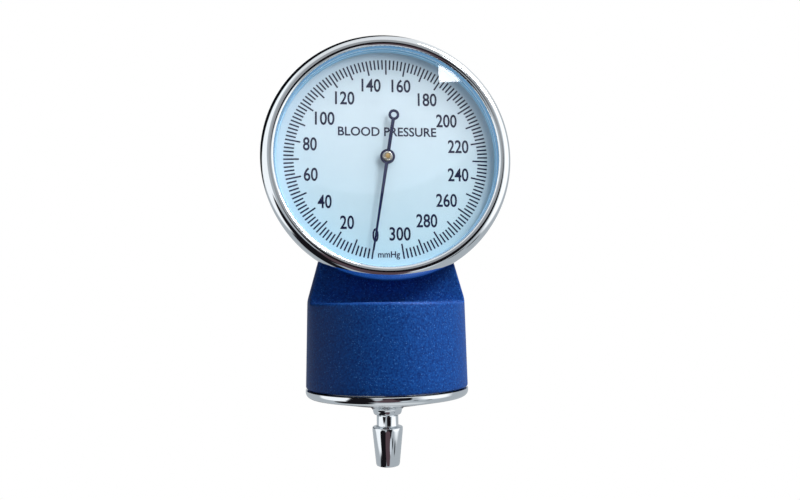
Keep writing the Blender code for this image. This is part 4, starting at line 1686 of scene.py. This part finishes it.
@dataclass
class Studio:
    """Camera, pale floor, white room and lamps."""

    camera_place: tuple[float, float, float] = (-0.01178, -0.14168, 0.03431)
    camera_target: tuple[float, float, float] = (0.00348, 0.0, 0.04961)
    camera_roll: float = math.radians(-0.85)
    focal: float = 27.0
    clip_start: float = 0.005
    key: Lamp = Lamp("key", 52.0, 46.0, 0.60, (0.30, 0.30), 5.3)
    dial_key: Lamp = Lamp("dial_key", 28.0, 15.0, 0.60, (0.30, 0.30), 2.0)
    window: Lamp = Lamp("window", 12.2, 23.5, 1.0, (0.043, 0.040), 0.065)
    floor_reach: float = 3.0
    floor_gap: float = 0.2 * MM
    floor_thickness: float = 2.0 * MM
    zones: tuple[Zone, ...] = (
        Zone(0, 90, 44, 62, "#f6f8fa", 1.0),
        Zone(-72, 12, 38, 46, "#f6f8fa", 1.25),
        Zone(66, 14, 26, 40, "#fbfcfd", 1.35),
        Zone(0, -88, 24, 34, "#e8ecef", 0.95),
        Zone(-134, 44, 38, 45, "#141519"),
        Zone(178, -22, 9, 15, "#3a3438"),
        Zone(-70, -52, 20, 25, "#17161a"),
        Zone(-41, -24, 20, 24, "#19171b"),
        Zone(9, -4, 19, 22, "#1a171b"),
        Zone(-3, -27, 17, 20, "#5c4a50"),
        Zone(20, -27, 5, 7, "#e6edf4"),
        Zone(3.3, 25, 13.2, 13.8, "#f2f4f8", 0.42),
        Zone(36, -24, 3, 5, "#15161a"),
        Zone(58, -26, 3, 6, "#1c1d22"),
    )
    room: str = "#b9bfc4"
    fill: float = 0.12

    def camera(self) -> None:
        """Sets the camera at the viewing angle, level but for a slight roll."""
        data = bpy.data.cameras.new("camera")
        data.lens = self.focal
        data.clip_start = self.clip_start
        camera = link("camera", data)
        line = Vector(self.camera_target) - Vector(self.camera_place)
        roll = Matrix.Rotation(self.camera_roll, 4, "Z")
        aim = line.to_track_quat("-Z", "Y").to_matrix().to_4x4()
        camera.matrix_world = Matrix.Translation(self.camera_place) @ aim @ roll
        bpy.context.scene.camera = camera

    def world(self) -> None:
        """Lights the room by zones, and shows the camera a plain white behind the object."""
        world = bpy.data.worlds.new("room")
        world.use_nodes = True
        bpy.context.scene.world = world
        tree = world.node_tree
        tree.nodes.clear()
        direction = add(tree, "ShaderNodeTexCoord").outputs["Generated"]
        colour = linear(self.room)
        for zone in self.zones:
            towards = {0: direction, 1: aimed(zone.azimuth, zone.elevation)}
            facing = add(tree, "ShaderNodeVectorMath", towards, operation="DOT_PRODUCT")
            links = {
                "Value": facing.outputs["Value"],
                "From Min": math.cos(math.radians(zone.edge)),
                "From Max": math.cos(math.radians(zone.core)),
            }
            share = add(tree, "ShaderNodeMapRange", links, interpolation_type="SMOOTHSTEP")
            tint = [channel * zone.strength for channel in linear(zone.tint)[:3]]
            links = {0: share, 6: colour, 7: (*tint, 1.0)}
            colour = add(tree, "ShaderNodeMix", links, data_type="RGBA").outputs[2]
        ray = add(tree, "ShaderNodeLightPath").outputs
        links = {"Value": ray["Is Diffuse Ray"], "To Min": 1.0, "To Max": self.fill}
        links = {"Color": colour, "Strength": add(tree, "ShaderNodeMapRange", links)}
        lit = add(tree, "ShaderNodeBackground", links)
        white = add(tree, "ShaderNodeBackground", {"Color": linear("#ffffff")})
        mixed = add(tree, "ShaderNodeMixShader", {0: ray["Is Camera Ray"], 1: lit, 2: white})
        add(tree, "ShaderNodeOutputWorld", {0: mixed})

    def floor(self) -> None:
        """Lays a plain pale floor, which the camera sees as white as the room behind it."""
        reach = self.floor_reach
        corners = [(-reach, -reach), (reach, -reach), (reach, reach), (-reach, reach)]
        top = CAD_BOUNDS[0].z - self.floor_gap
        mesh = slab("floor", corners, top - self.floor_thickness, top, Matrix.Identity(4))
        mesh.materials.append(PAPER.material())
        floor = link("floor", mesh)
        floor.visible_glossy = False

    def build(self) -> None:
        """Sets up the whole studio."""
        self.camera()
        self.world()
        self.floor()
        nodes = list(frame["nodes"].values())
        pieces = [thing for thing in bpy.data.objects if thing.type == "MESH"]
        dial = [thing for thing in pieces if thing.name.startswith("dial_")]
        rest = [thing for thing in pieces if thing not in dial and thing not in nodes]
        needle = [thing for thing in rest if thing.name.startswith("needle_")]
        self.key.hang(rest)
        self.dial_key.hang(dial + needle + [frame["nodes"]["pinion_arbor"]])
        self.window.hang()
        bpy.context.scene.view_settings.view_transform = "Standard"


def main() -> None:
    """Builds the object piece by piece."""
    logging.basicConfig(level=logging.INFO, format="%(name)s %(message)s")
    for assembly in (
        CastCase(),
        Bezel(),
        LensCap(),
        Dial(),
        Needle(),
        BottomFittings(),
        Movement(),
        Studio(),
    ):
        assembly.build()
        LOG.info("built %s", type(assembly).__name__)


if __name__ == "__main__":
    main()
